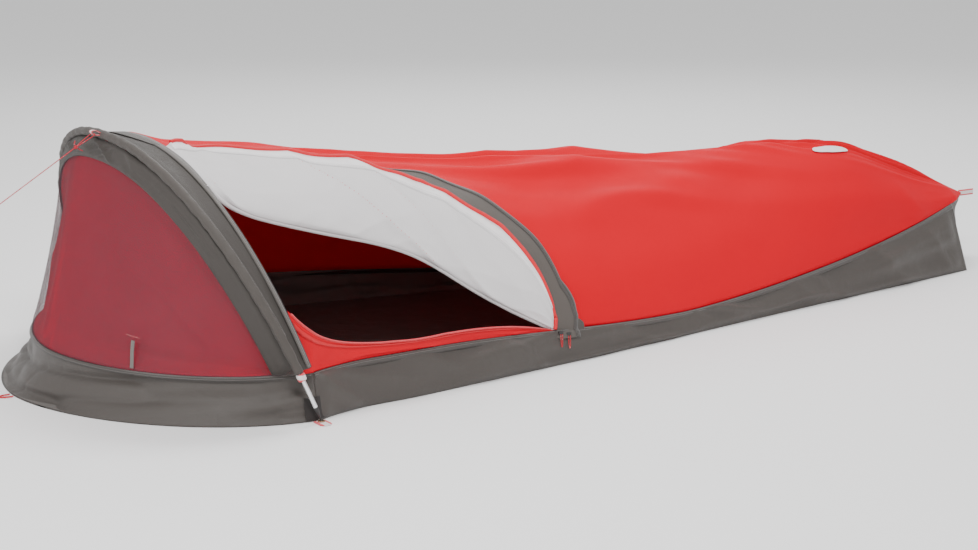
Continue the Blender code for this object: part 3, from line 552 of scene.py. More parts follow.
def cloth_material(name, color, rough=0.55, sheen=0.25, through=0.0, ripstop=0.005, thread=0.0009, vary=0.10, crumple=0.35, crumple_scale=22.0, grime=0.0, spec=0.35):
    """Coated woven nylon: threads and ripstop grid in the weave's own coordinates, soft crumple and slow colour drift in the object's."""
    n = Nodes(name)
    tc = n.add("ShaderNodeTexCoord")
    uv = n.add("ShaderNodeSeparateXYZ")
    n.link(tc.outputs["UV"], uv.inputs[0])

    def line(coord, period, width):
        f = n.math("FRACT", n.math("DIVIDE", coord, period))
        d = n.math("ABSOLUTE", n.math("SUBTRACT", f, 0.5))
        return n.math("GREATER_THAN", d, 0.5 - width / 2)

    grid_line = n.math("MAXIMUM", line(uv.outputs[0], ripstop, 0.12), line(uv.outputs[1], ripstop, 0.12))
    weave = n.math("MULTIPLY", n.math("SINE", n.math("MULTIPLY", uv.outputs[0], 2 * math.pi / thread)), n.math("SINE", n.math("MULTIPLY", uv.outputs[1], 2 * math.pi / thread)))
    slow = n.add("ShaderNodeTexNoise", Scale=3.2, Detail=4.0, Roughness=0.55)
    n.link(tc.outputs["Object"], slow.inputs["Vector"])
    mid = n.add("ShaderNodeTexNoise", Scale=crumple_scale, Detail=5.0, Roughness=0.55, Distortion=0.6)
    n.link(tc.outputs["Object"], mid.inputs["Vector"])
    c1 = n.mix(slow.outputs[0], scaled(color, 1 - vary), scaled(color, 1 + vary))
    c2 = n.mix(n.math("MULTIPLY", grid_line, 0.16), c1, scaled(color, 0.72))
    c3 = n.mix(n.math("MULTIPLY", n.math("POWER", mid.outputs[0], 3.0), grime), c2, (0.30, 0.27, 0.25)) if grime else c2
    n.link(c3, n.bsdf.inputs["Base Color"])
    r = n.math("ADD", n.math("MULTIPLY", mid.outputs[0], 0.16), rough - 0.08)
    n.link(r, n.bsdf.inputs["Roughness"])
    n.bsdf.inputs["Sheen Weight"].default_value = sheen
    n.bsdf.inputs["Sheen Roughness"].default_value = 0.45
    n.bsdf.inputs["Specular IOR Level"].default_value = spec
    b1 = n.add("ShaderNodeBump", Strength=crumple, Distance=0.004)
    n.link(mid.outputs[0], b1.inputs["Height"])
    b2 = n.add("ShaderNodeBump", Strength=0.25, Distance=0.0003)
    n.link(n.math("ADD", weave, n.math("MULTIPLY", grid_line, 1.6)), b2.inputs["Height"])
    n.link(b1.outputs[0], b2.inputs["Normal"])
    n.link(b2.outputs[0], n.bsdf.inputs["Normal"])
    if through:
        tr = n.add("ShaderNodeBsdfTranslucent")
        n.link(c3, tr.inputs["Color"])
        mx = n.add("ShaderNodeMixShader", Fac=through)
        n.link(n.bsdf.outputs[0], mx.inputs[1])
        n.link(tr.outputs[0], mx.inputs[2])
        n.link(mx.outputs[0], n.out.inputs["Surface"])
    return n.m


def net_material(name, color, hole=0.0016, open_share=0.42):
    """Fine insect net: threads with real openings between them."""
    n = Nodes(name)
    tc = n.add("ShaderNodeTexCoord")
    uv = n.add("ShaderNodeSeparateXYZ")
    n.link(tc.outputs["UV"], uv.inputs[0])

    def bar(coord, shift):
        f = n.math("FRACT", n.math("ADD", n.math("DIVIDE", coord, hole), shift))
        return n.math("ABSOLUTE", n.math("SUBTRACT", f, 0.5))

    a, b = bar(uv.outputs[0], 0.0), bar(uv.outputs[1], 0.0)
    solid = n.math("LESS_THAN", n.math("MAXIMUM", a, b), 0.5 * math.sqrt(open_share))
    slow = n.add("ShaderNodeTexNoise", Scale=6.0, Detail=3.0)
    n.link(tc.outputs["Object"], slow.inputs["Vector"])
    n.link(n.mix(slow.outputs[0], scaled(color, 0.85), scaled(color, 1.15)), n.bsdf.inputs["Base Color"])
    n.bsdf.inputs["Roughness"].default_value = 0.8
    n.bsdf.inputs["Specular IOR Level"].default_value = 0.2
    hole_shader = n.add("ShaderNodeBsdfTransparent")
    mx = n.add("ShaderNodeMixShader")
    n.link(solid, mx.inputs[0])
    n.link(n.bsdf.outputs[0], mx.inputs[1])
    n.link(hole_shader.outputs[0], mx.inputs[2])
    n.link(mx.outputs[0], n.out.inputs["Surface"])
    return n.m


def webbing_material(name, axis, centre, half, middle=(0.80, 0.78, 0.77), edge=(0.78, 0.04, 0.06)):
    """Woven tape, pale with coloured edges; axis is the object axis across it."""
    n = Nodes(name)
    tc = n.add("ShaderNodeTexCoord")
    xyz = n.add("ShaderNodeSeparateXYZ")
    n.link(tc.outputs["Object"], xyz.inputs[0])
    d = n.math("ABSOLUTE", n.math("SUBTRACT", xyz.outputs[axis], centre))
    side = n.math("GREATER_THAN", d, half * 0.55)
    rib = n.add("ShaderNodeTexWave", Scale=260.0, Distortion=0.4)
    n.link(tc.outputs["Object"], rib.inputs["Vector"])
    base = n.mix(side, middle, edge)
    n.link(n.mix(n.math("MULTIPLY", rib.outputs["Fac"], 0.25), base, (0.35, 0.2, 0.2)), n.bsdf.inputs["Base Color"])
    n.bsdf.inputs["Roughness"].default_value = 0.75
    n.bsdf.inputs["Sheen Weight"].default_value = 0.3
    b = n.add("ShaderNodeBump", Strength=0.5, Distance=0.0004)
    n.link(rib.outputs["Fac"], b.inputs["Height"])
    n.link(b.outputs[0], n.bsdf.inputs["Normal"])
    return n.m


def cord_material(name, color, fleck=(0.9, 0.75, 0.72), pitch=0.0032, amount=0.25):
    """Braided cord: twisted strands in the length and round the cord, a few pale flecks."""
    n = Nodes(name)
    tc = n.add("ShaderNodeTexCoord")
    w1 = n.add("ShaderNodeTexWave", Scale=0.32 / pitch, Distortion=1.5, wave_type="BANDS", bands_direction="DIAGONAL")
    n.link(tc.outputs["Object"], w1.inputs["Vector"])
    spots = n.add("ShaderNodeTexNoise", Scale=420.0, Detail=2.0)
    n.link(tc.outputs["Object"], spots.inputs["Vector"])
    f = n.math("MULTIPLY", n.math("GREATER_THAN", spots.outputs[0], 0.62), amount)
    c = n.mix(w1.outputs["Fac"], scaled(color, 0.7), color)
    n.link(n.mix(f, c, fleck), n.bsdf.inputs["Base Color"])
    n.bsdf.inputs["Roughness"].default_value = 0.7
    b = n.add("ShaderNodeBump", Strength=0.6, Distance=0.0004)
    n.link(w1.outputs["Fac"], b.inputs["Height"])
    n.link(b.outputs[0], n.bsdf.inputs["Normal"])
    return n.m


def zip_material(name, color, pitch=0.0024):
    """Coil zip: tape with a rib of teeth down its middle, in the tape's own coordinates."""
    n = Nodes(name)
    tc = n.add("ShaderNodeTexCoord")
    uv = n.add("ShaderNodeSeparateXYZ")
    n.link(tc.outputs["UV"], uv.inputs[0])
    tooth = n.math("SINE", n.math("MULTIPLY", uv.outputs[0], 2 * math.pi / pitch))
    pos = n.math("MULTIPLY", n.math("ADD", tooth, 1.0), 0.5)
    noise_n = n.add("ShaderNodeTexNoise", Scale=60.0, Detail=3.0)
    n.link(tc.outputs["Object"], noise_n.inputs["Vector"])
    c = n.mix(n.math("MULTIPLY", pos, 0.5), color, scaled(color, 0.55))
    n.link(n.mix(n.math("MULTIPLY", noise_n.outputs[0], 0.2), c, scaled(color, 1.4)), n.bsdf.inputs["Base Color"])
    n.bsdf.inputs["Roughness"].default_value = 0.5
    b = n.add("ShaderNodeBump", Strength=0.7, Distance=0.0006)
    n.link(pos, b.inputs["Height"])
    n.link(b.outputs[0], n.bsdf.inputs["Normal"])
    return n.m


def metal_material(name, color, rough, streak=90.0):
    n = Nodes(name)
    tc = n.add("ShaderNodeTexCoord")
    s = n.add("ShaderNodeTexNoise", Scale=streak, Detail=6.0, Roughness=0.7)
    n.link(tc.outputs["Object"], s.inputs["Vector"])
    n.link(n.mix(s.outputs[0], scaled(color, 0.86), scaled(color, 1.1)), n.bsdf.inputs["Base Color"])
    n.bsdf.inputs["Metallic"].default_value = 1.0
    n.link(n.math("ADD", n.math("MULTIPLY", s.outputs[0], 0.18), rough - 0.09), n.bsdf.inputs["Roughness"])
    b = n.add("ShaderNodeBump", Strength=0.15, Distance=0.0002)
    n.link(s.outputs[0], b.inputs["Height"])
    n.link(b.outputs[0], n.bsdf.inputs["Normal"])
    return n.m


def plastic_material(name, color, rough=0.38):
    n = Nodes(name)
    tc = n.add("ShaderNodeTexCoord")
    s = n.add("ShaderNodeTexNoise", Scale=700.0, Detail=3.0)
    n.link(tc.outputs["Object"], s.inputs["Vector"])
    big = n.add("ShaderNodeTexNoise", Scale=60.0, Detail=2.0)
    n.link(tc.outputs["Object"], big.inputs["Vector"])
    n.link(n.mix(big.outputs[0], scaled(color, 0.8), scaled(color, 1.5)), n.bsdf.inputs["Base Color"])
    n.link(n.math("ADD", n.math("MULTIPLY", big.outputs[0], 0.2), rough - 0.1), n.bsdf.inputs["Roughness"])
    b = n.add("ShaderNodeBump", Strength=0.2, Distance=0.0002)
    n.link(s.outputs[0], b.inputs["Height"])
    n.link(b.outputs[0], n.bsdf.inputs["Normal"])
    return n.m


def stitched_material(name, color, thread_color, rows=(0.0020, 0.0055), dash=0.0032, rough=0.6):
    """Narrow hem tape with rows of lockstitch in its own coordinates."""
    n = Nodes(name)
    tc = n.add("ShaderNodeTexCoord")
    uv = n.add("ShaderNodeSeparateXYZ")
    n.link(tc.outputs["UV"], uv.inputs[0])
    on = n.math("LESS_THAN", n.math("FRACT", n.math("DIVIDE", uv.outputs[0], dash)), 0.68)
    total = None
    for r in rows:
        near_row = n.math("LESS_THAN", n.math("ABSOLUTE", n.math("SUBTRACT", uv.outputs[1], r)), 0.00035)
        s = n.math("MULTIPLY", near_row, on)
        total = s if total is None else n.math("MAXIMUM", total, s)
    slow = n.add("ShaderNodeTexNoise", Scale=30.0, Detail=4.0)
    n.link(tc.outputs["Object"], slow.inputs["Vector"])
    base = n.mix(slow.outputs[0], scaled(color, 0.86), scaled(color, 1.14))
    n.link(n.mix(total, base, thread_color), n.bsdf.inputs["Base Color"])
    n.bsdf.inputs["Roughness"].default_value = rough
    n.bsdf.inputs["Sheen Weight"].default_value = 0.2
    b0 = n.add("ShaderNodeBump", Strength=0.4, Distance=0.0015)
    n.link(slow.outputs[0], b0.inputs["Height"])
    b = n.add("ShaderNodeBump", Strength=0.6, Distance=0.0004)
    n.link(total, b.inputs["Height"])
    n.link(b0.outputs[0], b.inputs["Normal"])
    n.link(b.outputs[0], n.bsdf.inputs["Normal"])
    return n.m


GREY = (0.064, 0.055, 0.049)
LIGHT_GREY = (0.205, 0.184, 0.174)
RED = (0.74, 0.0, 0.016)
DEEP_RED = (0.60, 0.004, 0.008)
PALE = (0.74, 0.715, 0.72)
grey = cloth_material("grey_shell", GREY, rough=0.46, sheen=0.06, crumple=0.55, spec=0.40)
grey_band = cloth_material("grey_band", scaled(GREY, 0.78), rough=0.62, sheen=0.05, crumple=0.45)
grey_sleeve = cloth_material("grey_sleeve", scaled(GREY, 1.05), rough=0.58, sheen=0.08, crumple=0.45, crumple_scale=34.0)
light_grey = cloth_material("light_grey_strip", LIGHT_GREY, rough=0.60, sheen=0.12, crumple=0.35)
grey_inside = cloth_material("grey_inside", (0.26, 0.235, 0.225), rough=0.66, sheen=0.05, crumple=0.3)
storm_grey = cloth_material("storm_grey", scaled(GREY, 1.45), rough=0.62, sheen=0.1, crumple=0.35)
red = cloth_material("red_shell", RED, rough=0.44, sheen=0.0, through=0.12, vary=0.05, crumple=0.42, crumple_scale=12.0, spec=0.05)
# Inner face of the red cloth: its red base colour is painted glow that stands in for light shining through the red
# cloth; the translucent part of the shader is real light.
red_inside = cloth_material("red_inside", (0.78, 0.055, 0.065), rough=0.7, sheen=0.1, through=0.35, vary=0.06)
sill_red = cloth_material("sill_red", scaled(RED, 0.86), rough=0.55, sheen=0.0, spec=0.14, vary=0.05, crumple=0.30)
lining = cloth_material("pale_lining", PALE, rough=0.62, sheen=0.35, through=0.06, vary=0.035, crumple=0.30, crumple_scale=18.0)
cover_red = cloth_material("vent_cover_red", (0.85, 0.012, 0.050), rough=0.70, sheen=0.0, spec=0.10, vary=0.10, crumple=0.45, crumple_scale=9.0)
net = net_material("insect_net", (0.105, 0.050, 0.062), open_share=0.64)
black_cloth = cloth_material("black_reinforcement", (0.022, 0.018, 0.017), rough=0.7, sheen=0.2, vary=0.2, ripstop=0.003)
red_cord = cord_material("red_cord", (0.66, 0.008, 0.022), amount=0.3)
guy_cord = cord_material("guy_cord", (0.60, 0.012, 0.035), amount=0.3)
zip_dark = zip_material("zip_dark", (0.055, 0.045, 0.042))
zip_red = zip_material("zip_red", (0.72, 0.0, 0.012))
aluminium = metal_material("aluminium_tube", (0.86, 0.86, 0.87), 0.30)
brass = metal_material("grommet_brass", (0.55, 0.42, 0.26), 0.36)
black_plastic = plastic_material("black_plastic", (0.018, 0.017, 0.017))
elastic = cord_material("elastic_cord", (0.03, 0.03, 0.03), amount=0.3)
grey_hem = stitched_material("grey_hem", scaled(GREY, 0.80), (0.23, 0.21, 0.20))
dark_hem = stitched_material("dark_hem", scaled(GREY, 0.55), (0.18, 0.16, 0.15))
red_hem = stitched_material("red_hem", scaled(RED, 0.80), (0.95, 0.20, 0.20))
strip_hem = stitched_material("strip_hem", scaled(GREY, 1.25), (0.26, 0.24, 0.23))
pale_hem = stitched_material("pale_hem", scaled(PALE, 1.12), (0.45, 0.42, 0.42), rows=(0.0030, 0.0085))


def replace_with(ob, *names):
    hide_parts(*names)
    return ob


E = {}

# ---- hoop: sleeve, band, strip ----
A_TABLE = np.linspace(0.0, math.pi, 2001)
S_TABLE = np.concatenate([[0], np.cumsum(np.linalg.norm(np.diff(hoop(A_TABLE), axis=0), axis=1))])
HOOP_LENGTH = float(S_TABLE[-1])
SLEEVE_A = 0.165


def on_hoop(s):
    return hoop(np.interp(s, S_TABLE, A_TABLE))


s_sleeve = float(np.interp(SLEEVE_A, A_TABLE, S_TABLE))
run = on_hoop(np.linspace(s_sleeve - 0.001, HOOP_LENGTH - s_sleeve + 0.001, 260))


def sleeve_bump(s, a):
    gather = 0.0008 * (ridged(s / 0.020, a * 1.3, 11, 1.5) - 0.5) + 0.0005 * np.sin(s / 0.0065 + 3 * noise(s / 0.03, a, 12))
    return gather


sleeve = tube("pole_sleeve_cloth", run, SLEEVE_R + 0.0002, grey_sleeve, sides=22, bump=sleeve_bump)
attach(replace_with(sleeve, "pole_sleeve"), "hoop")


def piping_of(name, a0, a1, offset_fn, radius, mat, body, count=160):
    a = np.linspace(a0, a1, count)
    ob = tube(name, offset_fn(a), radius, mat, sides=8)
    return attach(ob, body)


def band(a, r):
    gap = 0.0088 / np.linalg.norm(hoop(a) - tub_top_head(a), axis=-1)
    return head_skin(a, gap + (np.minimum(band_share(a), 0.96) - gap) * r)


ab = np.linspace(0.185, math.pi - 0.185, 280)
rb = np.linspace(0, 1, 18)
P = grid(ab, rb, band)
A, R = np.meshgrid(ab, rb, indexing="ij")
top_gather = np.exp(-((A - math.pi / 2) / 0.45) ** 2)
creases = ridged(A * 9 + 1.5 * R, R * 0.6, 21, 2.0) * top_gather * 0.0085 + ridged(A * 17 - 2.2 * R, R * 0.5, 27, 2.2) * top_gather * 0.0040 + (layers(A * 4, R * 1.2, 23) - 0.5) * 0.0040
creases += 0.0045 * ridged(A * 2.0, R * 2.2 + 0.4 * A, 25, 2.0) * (1 - 0.6 * top_gather)
P = P - normals(P) * 0 + normals(P) * (creases * edge_mask(P.shape[:2], 0.02, 0.18))[..., None]
hoop_band = sheet("hoop_band_cloth", P, grey_band)
attach(replace_with(hoop_band, "hoop_band"), "hoop")
declare(hoop_band, "stretched", ["pole_sleeve_cloth"])


def strip_skin(a, r):
    gap = 0.0088 / strip_width(hoop(a))
    return strip(a, gap + (1 - gap) * r)


ast = np.linspace(0.168, math.pi - 0.168, 280)
P = grid(ast, np.linspace(0, 1, 14), strip_skin)
A, R = np.meshgrid(ast, np.linspace(0, 1, 14), indexing="ij")
soft = (layers(A * 5, R * 1.5, 31) - 0.5) * 0.0030 + 0.0018 * ridged(A * 1.2, R * 2.0, 33, 2.0)
P = P + normals(P) * (soft * edge_mask(P.shape[:2], 0.02, 0.2))[..., None]
strip_cloth = sheet("hoop_strip_cloth", P, light_grey, grey_band)
attach(replace_with(strip_cloth, "hoop_strip"), "hoop")
STRIP_CLOTH = strip_cloth

# raised seam where the strip leaves the sleeve, and the stitched hem along the zip
seam_a = np.linspace(0.30, math.pi - 0.30, 220)
H = hoop(seam_a)
back = toward_foot(H)
lift_dir = (H - np.array((HOOP_X, 0.0, 0.0))) * np.array((0.3, 1.0, 1.0))
lift_dir /= np.linalg.norm(lift_dir, axis=1, keepdims=True)
seam = tube("sleeve_seam", H + back * 0.0112 + lift_dir * 0.0022, 0.0013, grey_hem, sides=8)
attach(seam, "hoop")

Zt = np.linspace(0.172, math.pi - 0.172, 240)
ZE = zip_edge(Zt)
ZI = hoop(Zt) - ZE
ZI /= np.linalg.norm(ZI, axis=1, keepdims=True)
ZO = np.cross(np.gradient(ZE, axis=0), ZI)
ZO /= np.linalg.norm(ZO, axis=1, keepdims=True)
ZO *= np.sign((ZO * (ZE - np.array((-0.70, 0.0, 0.12)))).sum(1, keepdims=True))
lap = 0.0060 * fade(Zt, 0.80, 1.25)
hem = np.stack([ZE + ZI * (d - lap * (i == 0))[:, None] + ZO * (0.0016 + 0.0008 * (0 < i < 3) + 0.45 * lap * (i == 0) + 0.10 * lap * (i == 1))[:, None]
                for i, d in enumerate((-0.0008, 0.0030, 0.0060, 0.0085))], 1)
zip_hem = sheet("strip_zip_hem", hem, strip_hem, thick=0.0008)
attach(replace_with(zip_hem, "zip_tape_hoop"), "hoop")
declare(STRIP_CLOTH, "stretched", ["pole_sleeve_cloth"], with_pieces=[zip_hem])
coil = tube("strip_zip_coil", ZE - ZI * 0.0018 + ZO * 0.0012, 0.0014, zip_dark, sides=8)
attach(coil, "hoop")

# dark collar at the top of the zip
ca = np.linspace(1.40, 1.92, 40)
CE = zip_edge(ca)
CI = hoop(ca) - CE
CI /= np.linalg.norm(CI, axis=1, keepdims=True)
CO = np.cross(np.gradient(CE, axis=0), CI)
CO /= np.linalg.norm(CO, axis=1, keepdims=True)
CO *= np.sign(CO[:, 2:3])
wide = 0.004 + 0.020 * np.sin(np.clip((ca - 1.40) / 0.52, 0, 1) * math.pi) ** 0.7
rows = np.linspace(-0.60, 1.25, 12)
collar_P = np.stack([CE + CI * (wide * r)[:, None] + CO * (0.0034 - 0.0020 * max(r, 0) ** 1.5 / 1.4) for r in rows], 1)
collar = sheet("zip_collar", collar_P, grey)
attach(collar, "hoop")
declare(collar, "stretched", ["hoop_strip_cloth"])

# ---- tub walls ----
def hem_strip(name, edge, down, out, width, mat, body, rise=0.0012, rows=4):
    down = down / np.linalg.norm(down, axis=1, keepdims=True)
    out = out / np.linalg.norm(out, axis=1, keepdims=True)
    ds = np.linspace(-0.0005, width, rows)
    Pn = np.stack([edge + down * d + out * (rise * (1.0 if 0 < i < rows - 1 else 0.55)) for i, d in enumerate(ds)], 1)
    ob = sheet(name, Pn, mat, thick=0.0007)
    return attach(ob, body)


wa = np.linspace(0.004, math.pi - 0.004, 340)
wr = np.linspace(0, 1, 30)
P = grid(wa, wr, lambda a, r: tub_base_head(a) * (1 - r[..., None]) + tub_top_head(a) * r[..., None])
A, R = np.meshgrid(wa, wr, indexing="ij")
length = A / math.pi * 1.25
mask = edge_mask(P.shape[:2], 0.015, 0.10)
bulge = 0.010 * np.sin(R * math.pi) ** 0.9 * fade(A, 0.10, 0.6) * fade(math.pi - A, 0.10, 0.6)
pull = ridged(length / 0.34 + 0.5 * R, R * 2.6 + 1.5 * length, 41, 2.8) * 0.0160
pull += ridged(length / 0.18 - 0.7 * R, R * 4.2 + 2.6 * length, 43, 2.4) * 0.0085
pleat = ridged(length / 0.075 + 0.8 * R, R * 0.5, 45, 2.4) * 0.0070 * fade(A, 1.25, 1.9)
pleat += ridged(length / 0.050 - 0.9 * R, R * 0.4, 49, 2.2) * 0.0045 * np.exp(-((A - 0.22) / 0.20) ** 2)
push = (bulge + pull + pleat - 0.005) * mask
push = softened(np.where(push < 0, push * fade(R, 0.25, 0.60), push), 2) + 0.0016 * (1 - fade(R, 0.0, 0.25))
P = P + normals(P) * push[..., None] * np.array((1.0, 1.0, 0.6))
head_wall = sheet("tub_head_cloth", P, grey_inside, grey, floor=0.0004)
attach(replace_with(head_wall, "tub_wall_head"), "tub")
declare(head_wall, "stretched", ["floor_panel"])
top = tub_top_head(wa)
bot = tub_base_head(wa)
hem_strip("tub_head_hem", top, bot - top, np.cross(np.gradient(top, axis=0), top - bot), 0.0075, dark_hem, "tub")


def side_wall(x, r):
    r = r[..., None]
    return tub_base_side(x) * (1 - r) + tub_top_side(x) * r


wx = np.linspace(HOOP_X + 0.0004, 1.1105, 420)
for label, flip, seed in (("near", False, 51), ("far", True, 151)):
    P = grid(wx, np.linspace(0, 1, 26), side_wall)
    X, R = np.meshgrid(wx, np.linspace(0, 1, 26), indexing="ij")
    mask = edge_mask(P.shape[:2], 0.012, 0.10)
    w1 = ridged(X / 0.26 + 0.6 * R, R * 2.2 - 2.0 * X, seed, 2.4) * 0.0110
    w2 = ridged(X / 0.10 + 0.7 * R, R * 1.1 + 0.5 * X, seed + 2, 2.2) * 0.0062
    foot_w = ridged(X / 0.55, R * 3.6 - 1.2 * X, seed + 4, 2.0) * 0.0095 * fade(X, 0.45, 0.80)
    dent = -0.006 * np.exp(-((X + 0.235) / 0.05) ** 2 - ((R - 0.35) / 0.35) ** 2)
    corner = ridged(X / 0.045 + 1.2 * R, R * 0.6, seed + 6, 2.0) * 0.0050 * np.exp(-((X - HOOP_X) / 0.10) ** 2)
    bulge = 0.005 * np.sin(R * math.pi)
    P = P + normals(P) * softened((w1 + w2 + foot_w + dent + corner + bulge - 0.004) * mask * fade(1.1105 - X, 0.0, 0.05), 2)[..., None]
    if flip:
        P = mirrored(P)[:, ::-1]
    wall = sheet("tub_side_cloth_" + label, P, grey, grey_inside, floor=0.0004)
    attach(replace_with(wall, "tub_wall_" + label), "tub")
    declare(wall, "stretched", ["floor_panel"])
    top, bot = tub_top_side(wx), tub_base_side(wx)
    out = np.cross(np.gradient(top, axis=0), top - bot)
    if flip:
        top, bot, out = mirrored(top), mirrored(bot), mirrored(out)
    hem_strip("tub_side_hem_" + label, top, bot - top, out, 0.0120, grey_hem, "tub", rise=0.0034)


def foot_wall(t, r):
    r, k = r[..., None], np.abs(t)[..., None]
    low, corner = tub_base_side(np.array(1.1105)), tub_top_side(np.array(1.1105))
    base = np.stack([low[0] + (FLOOR_FOOT_X + 0.010 - low[0]) * (1 - t ** 4), abs(low[1]) * t, 0 * t], -1)
    corner = np.stack([np.full_like(t, corner[0]), np.sign(t) * abs(corner[1]), np.full_like(t, corner[2])], -1)
    soft = 0.04
    k2 = np.sqrt(k * k + soft * soft) - soft
    return base * (1 - r) + (np.array(FOOT_POINT) * (1 - k2) + corner * k2) * r


ft, fr = np.linspace(-1.0, 1.0, 120), np.linspace(0, 1, 40)
P = grid(ft, fr, foot_wall)
T_, R = np.meshgrid(ft, fr, indexing="ij")
w = ridged(T_ * 1.2, R * 5.0, 61, 2.0) * 0.0060 + (layers(T_ * 2, R * 3, 63) - 0.5) * 0.006
P = P + normals(P) * ((w - 0.004) * 0.5 * edge_mask(P.shape[:2], 0.14, 0.10))[..., None]
foot_cloth = sheet("tub_foot_cloth", P, grey, floor=0.0004)
attach(replace_with(foot_cloth, "tub_wall_foot"), "tub")
declare(foot_cloth, "stretched", ["floor_panel"])

# ---- head window: net outside, rolled-up-able cover inside ----
na = np.linspace(0.20, math.pi - 0.20, 320)
nr = np.linspace(0, 1, 60)


def window(a, r, lo_gap=0.0, hi=0.998):
    lo = np.minimum(band_share(a), 0.96) - 0.020 + lo_gap
    return head_skin(a, lo + (hi - lo) * r)


P = grid(na, nr, window)
A, R = np.meshgrid(na, nr, indexing="ij")
mask = edge_mask(P.shape[:2], 0.04, 0.12)
inward = normals(P)
side_sign = np.sign((inward * (P - np.array((-0.75, 0.0, 0.15)))).sum(-1).mean())
outward = inward * side_sign
net_shape = -0.006 * np.sin(R * math.pi) * fade(A, 0.3, 0.9) + 0.004 * (layers(A * 2.5, R * 1.6, 71) - 0.5)
streaks = ridged(A * 5.5 + 1.2 * R, R * 0.45, 73, 3.0) * 0.0085 * fade(A, 1.25, 1.8)
Pn = P + outward * ((net_shape + streaks - 0.0035) * mask)[..., None]
net_cloth = sheet("vent_net", Pn, net, thick=0.0006)
replace_with(net_cloth, "vent_mesh")
folds = ridged(A * 1.6 + 2.2 * R, R * 2.6 - 0.7 * A, 81, 1.8) * 0.0120 + ridged(A * 2.6 - 1.2 * R, R * 4.0 + 0.6 * A, 83, 1.8) * 0.0060 + 0.006 * (layers(A * 3, R * 3, 85) - 0.5)
calm = 1 - 0.8 * np.exp(-((A - 1.80) / 0.50) ** 2)
Pc = P + outward * (-0.0035 - (0.006 + 0.015 * calm) * mask + (folds - 0.011) * mask * 0.75 * calm * fade(A, 0.25, 0.9) * fade(math.pi - A, 0.25, 0.9))[..., None]
cover = sheet("vent_cover_cloth", Pc, cover_red, thick=0.0008)
replace_with(cover, "vent_cover")
for ob in (net_cloth, cover):
    declare(ob, "stretched", ["tub_head_cloth"])

# toggle strap with its cord at the foot of the window
sa = 0.955 + np.linspace(-0.0090, 0.0090, 6)
sr = np.linspace(0.832, 0.985, 24)
P = grid(sa, sr, lambda a, r: head_skin(a + 0.24 * (0.965 - r), r))
n0 = normals(P)
n0 = n0 * np.sign((n0 * (P - np.array((-0.75, 0.0, 0.15)))).sum(-1).mean())
wavy = 0.0030 + 0.0008 * np.sin(np.linspace(0, 5, 24))[None, :]
P = P + n0 * wavy[..., None]
strap = sheet("vent_toggle_strap_cloth", P, cloth_material("strap_grey", (0.15, 0.135, 0.125), rough=0.7, ripstop=0.002), thick=0.0012)
attach(replace_with(strap, "vent_toggle_strap"), "tub")

# ---- sill below the door ----
sx = np.concatenate([np.linspace(-0.856, -0.70, 50), np.linspace(-0.697, -0.212, 110)])
sr = np.linspace(0, 1, 18)


def sill(x, r):
    r = r[..., None]
    low_x = np.maximum(x, HOOP_X - 0.020)
    low = tub_top_side(np.maximum(low_x, HOOP_X))
    low[..., 0] = low_x
    low[..., 2] += 0.0005
    return low * (1 - r) + sill_top(x) * r


P = grid(sx, sr, sill)
X, R = np.meshgrid(sx, sr, indexing="ij")
w = ridged(X / 0.20 + 0.5 * R, R * 1.3, 91, 2.0) * 0.0050 + (layers(X / 0.12, R * 1.2, 93) - 0.5) * 0.0060
P = P + normals(P) * ((w - 0.002) * edge_mask(P.shape[:2], 0.03, 0.20, "uUv"))[..., None]
sill_cloth = sheet("door_sill_cloth", P, sill_red, red_inside)
attach(replace_with(sill_cloth, "door_sill"), "tub")
declare(sill_cloth, "stretched", ["tub_side_cloth_near"])
edge = P[:, -1] + np.array((0, 0, 0.0006))
binding = tube("sill_binding", edge[2:-2], 0.0022, red_hem, sides=10)
attach(binding, "tub")
tape = np.stack([P[2:-2, -k] + np.array((0.0, -0.0022, 0.0)) for k in (5, 4, 3)], 1)
tape_ob = sheet("sill_zip_tape", tape, zip_red, thick=0.0008)
attach(replace_with(tape_ob, "zip_tape_sill"), "tub")

# ---- canopy: one sheet from the near seam over the ridge to the far seam ----
XR0 = -0.957


def near_side(xr, t):
    """Near half of the canopy; xr is where the column meets the ridge, t 0 low edge, 1 ridge."""
    u1 = np.clip((xr - XR0) / (DOOR_RIDGE_X - XR0), 0, 1)
    u2 = np.clip((xr - DOOR_RIDGE_X) / (FOOT_POINT[0] - DOOR_RIDGE_X), 0, 1)
    front, rear = near_roof(u1, t), near_rear(u2, t)
    return np.where((xr < DOOR_RIDGE_X)[..., None], front, rear)


FAR_A0 = 0.155


def far_side(xr, w):
    u = np.clip((xr + 0.955) / (FOOT_POINT[0] + 0.955), 0, 1)
    L = low_side(u, HOOP_X - 0.012)
    Rr = ridge(-0.955 + (FOOT_POINT[0] + 0.955) * u)
    skin = columns(L, Rr, w, skin_power(Rr[..., 0]))
    a = FAR_A0 + (math.pi / 2 - FAR_A0) * w
    first = (1 - np.clip(u / 0.16, 0, 1)) ** 2
    L0, R0 = low_side(0 * u, HOOP_X - 0.012), ridge(-0.955 + 0 * u)
    skin0 = columns(L0, R0, w, skin_power(R0[..., 0]))
    return mirrored(skin + (zip_edge(a) - skin0) * first[..., None])


def full_side(xr, t):
    """t 0 near low edge, 1 ridge, 2 far low edge, eased so that the ridge is one smooth crown."""
    near_P = near_side(xr, np.clip(t, 0, 1))
    far_P = far_side(xr, np.clip(2 - t, 0, 1))
    Q = np.where((t <= 1)[..., None], near_P, far_P)
    side = np.minimum(t, 2 - t)
    sag = 0.013 * fade(xr, -0.935, -0.86) * (1 - fade(xr, -0.30, 0.20)) * fade(side, 0.35, 0.95)
    return Q - sag[..., None] * np.array((0.0, 0.0, 1.0))


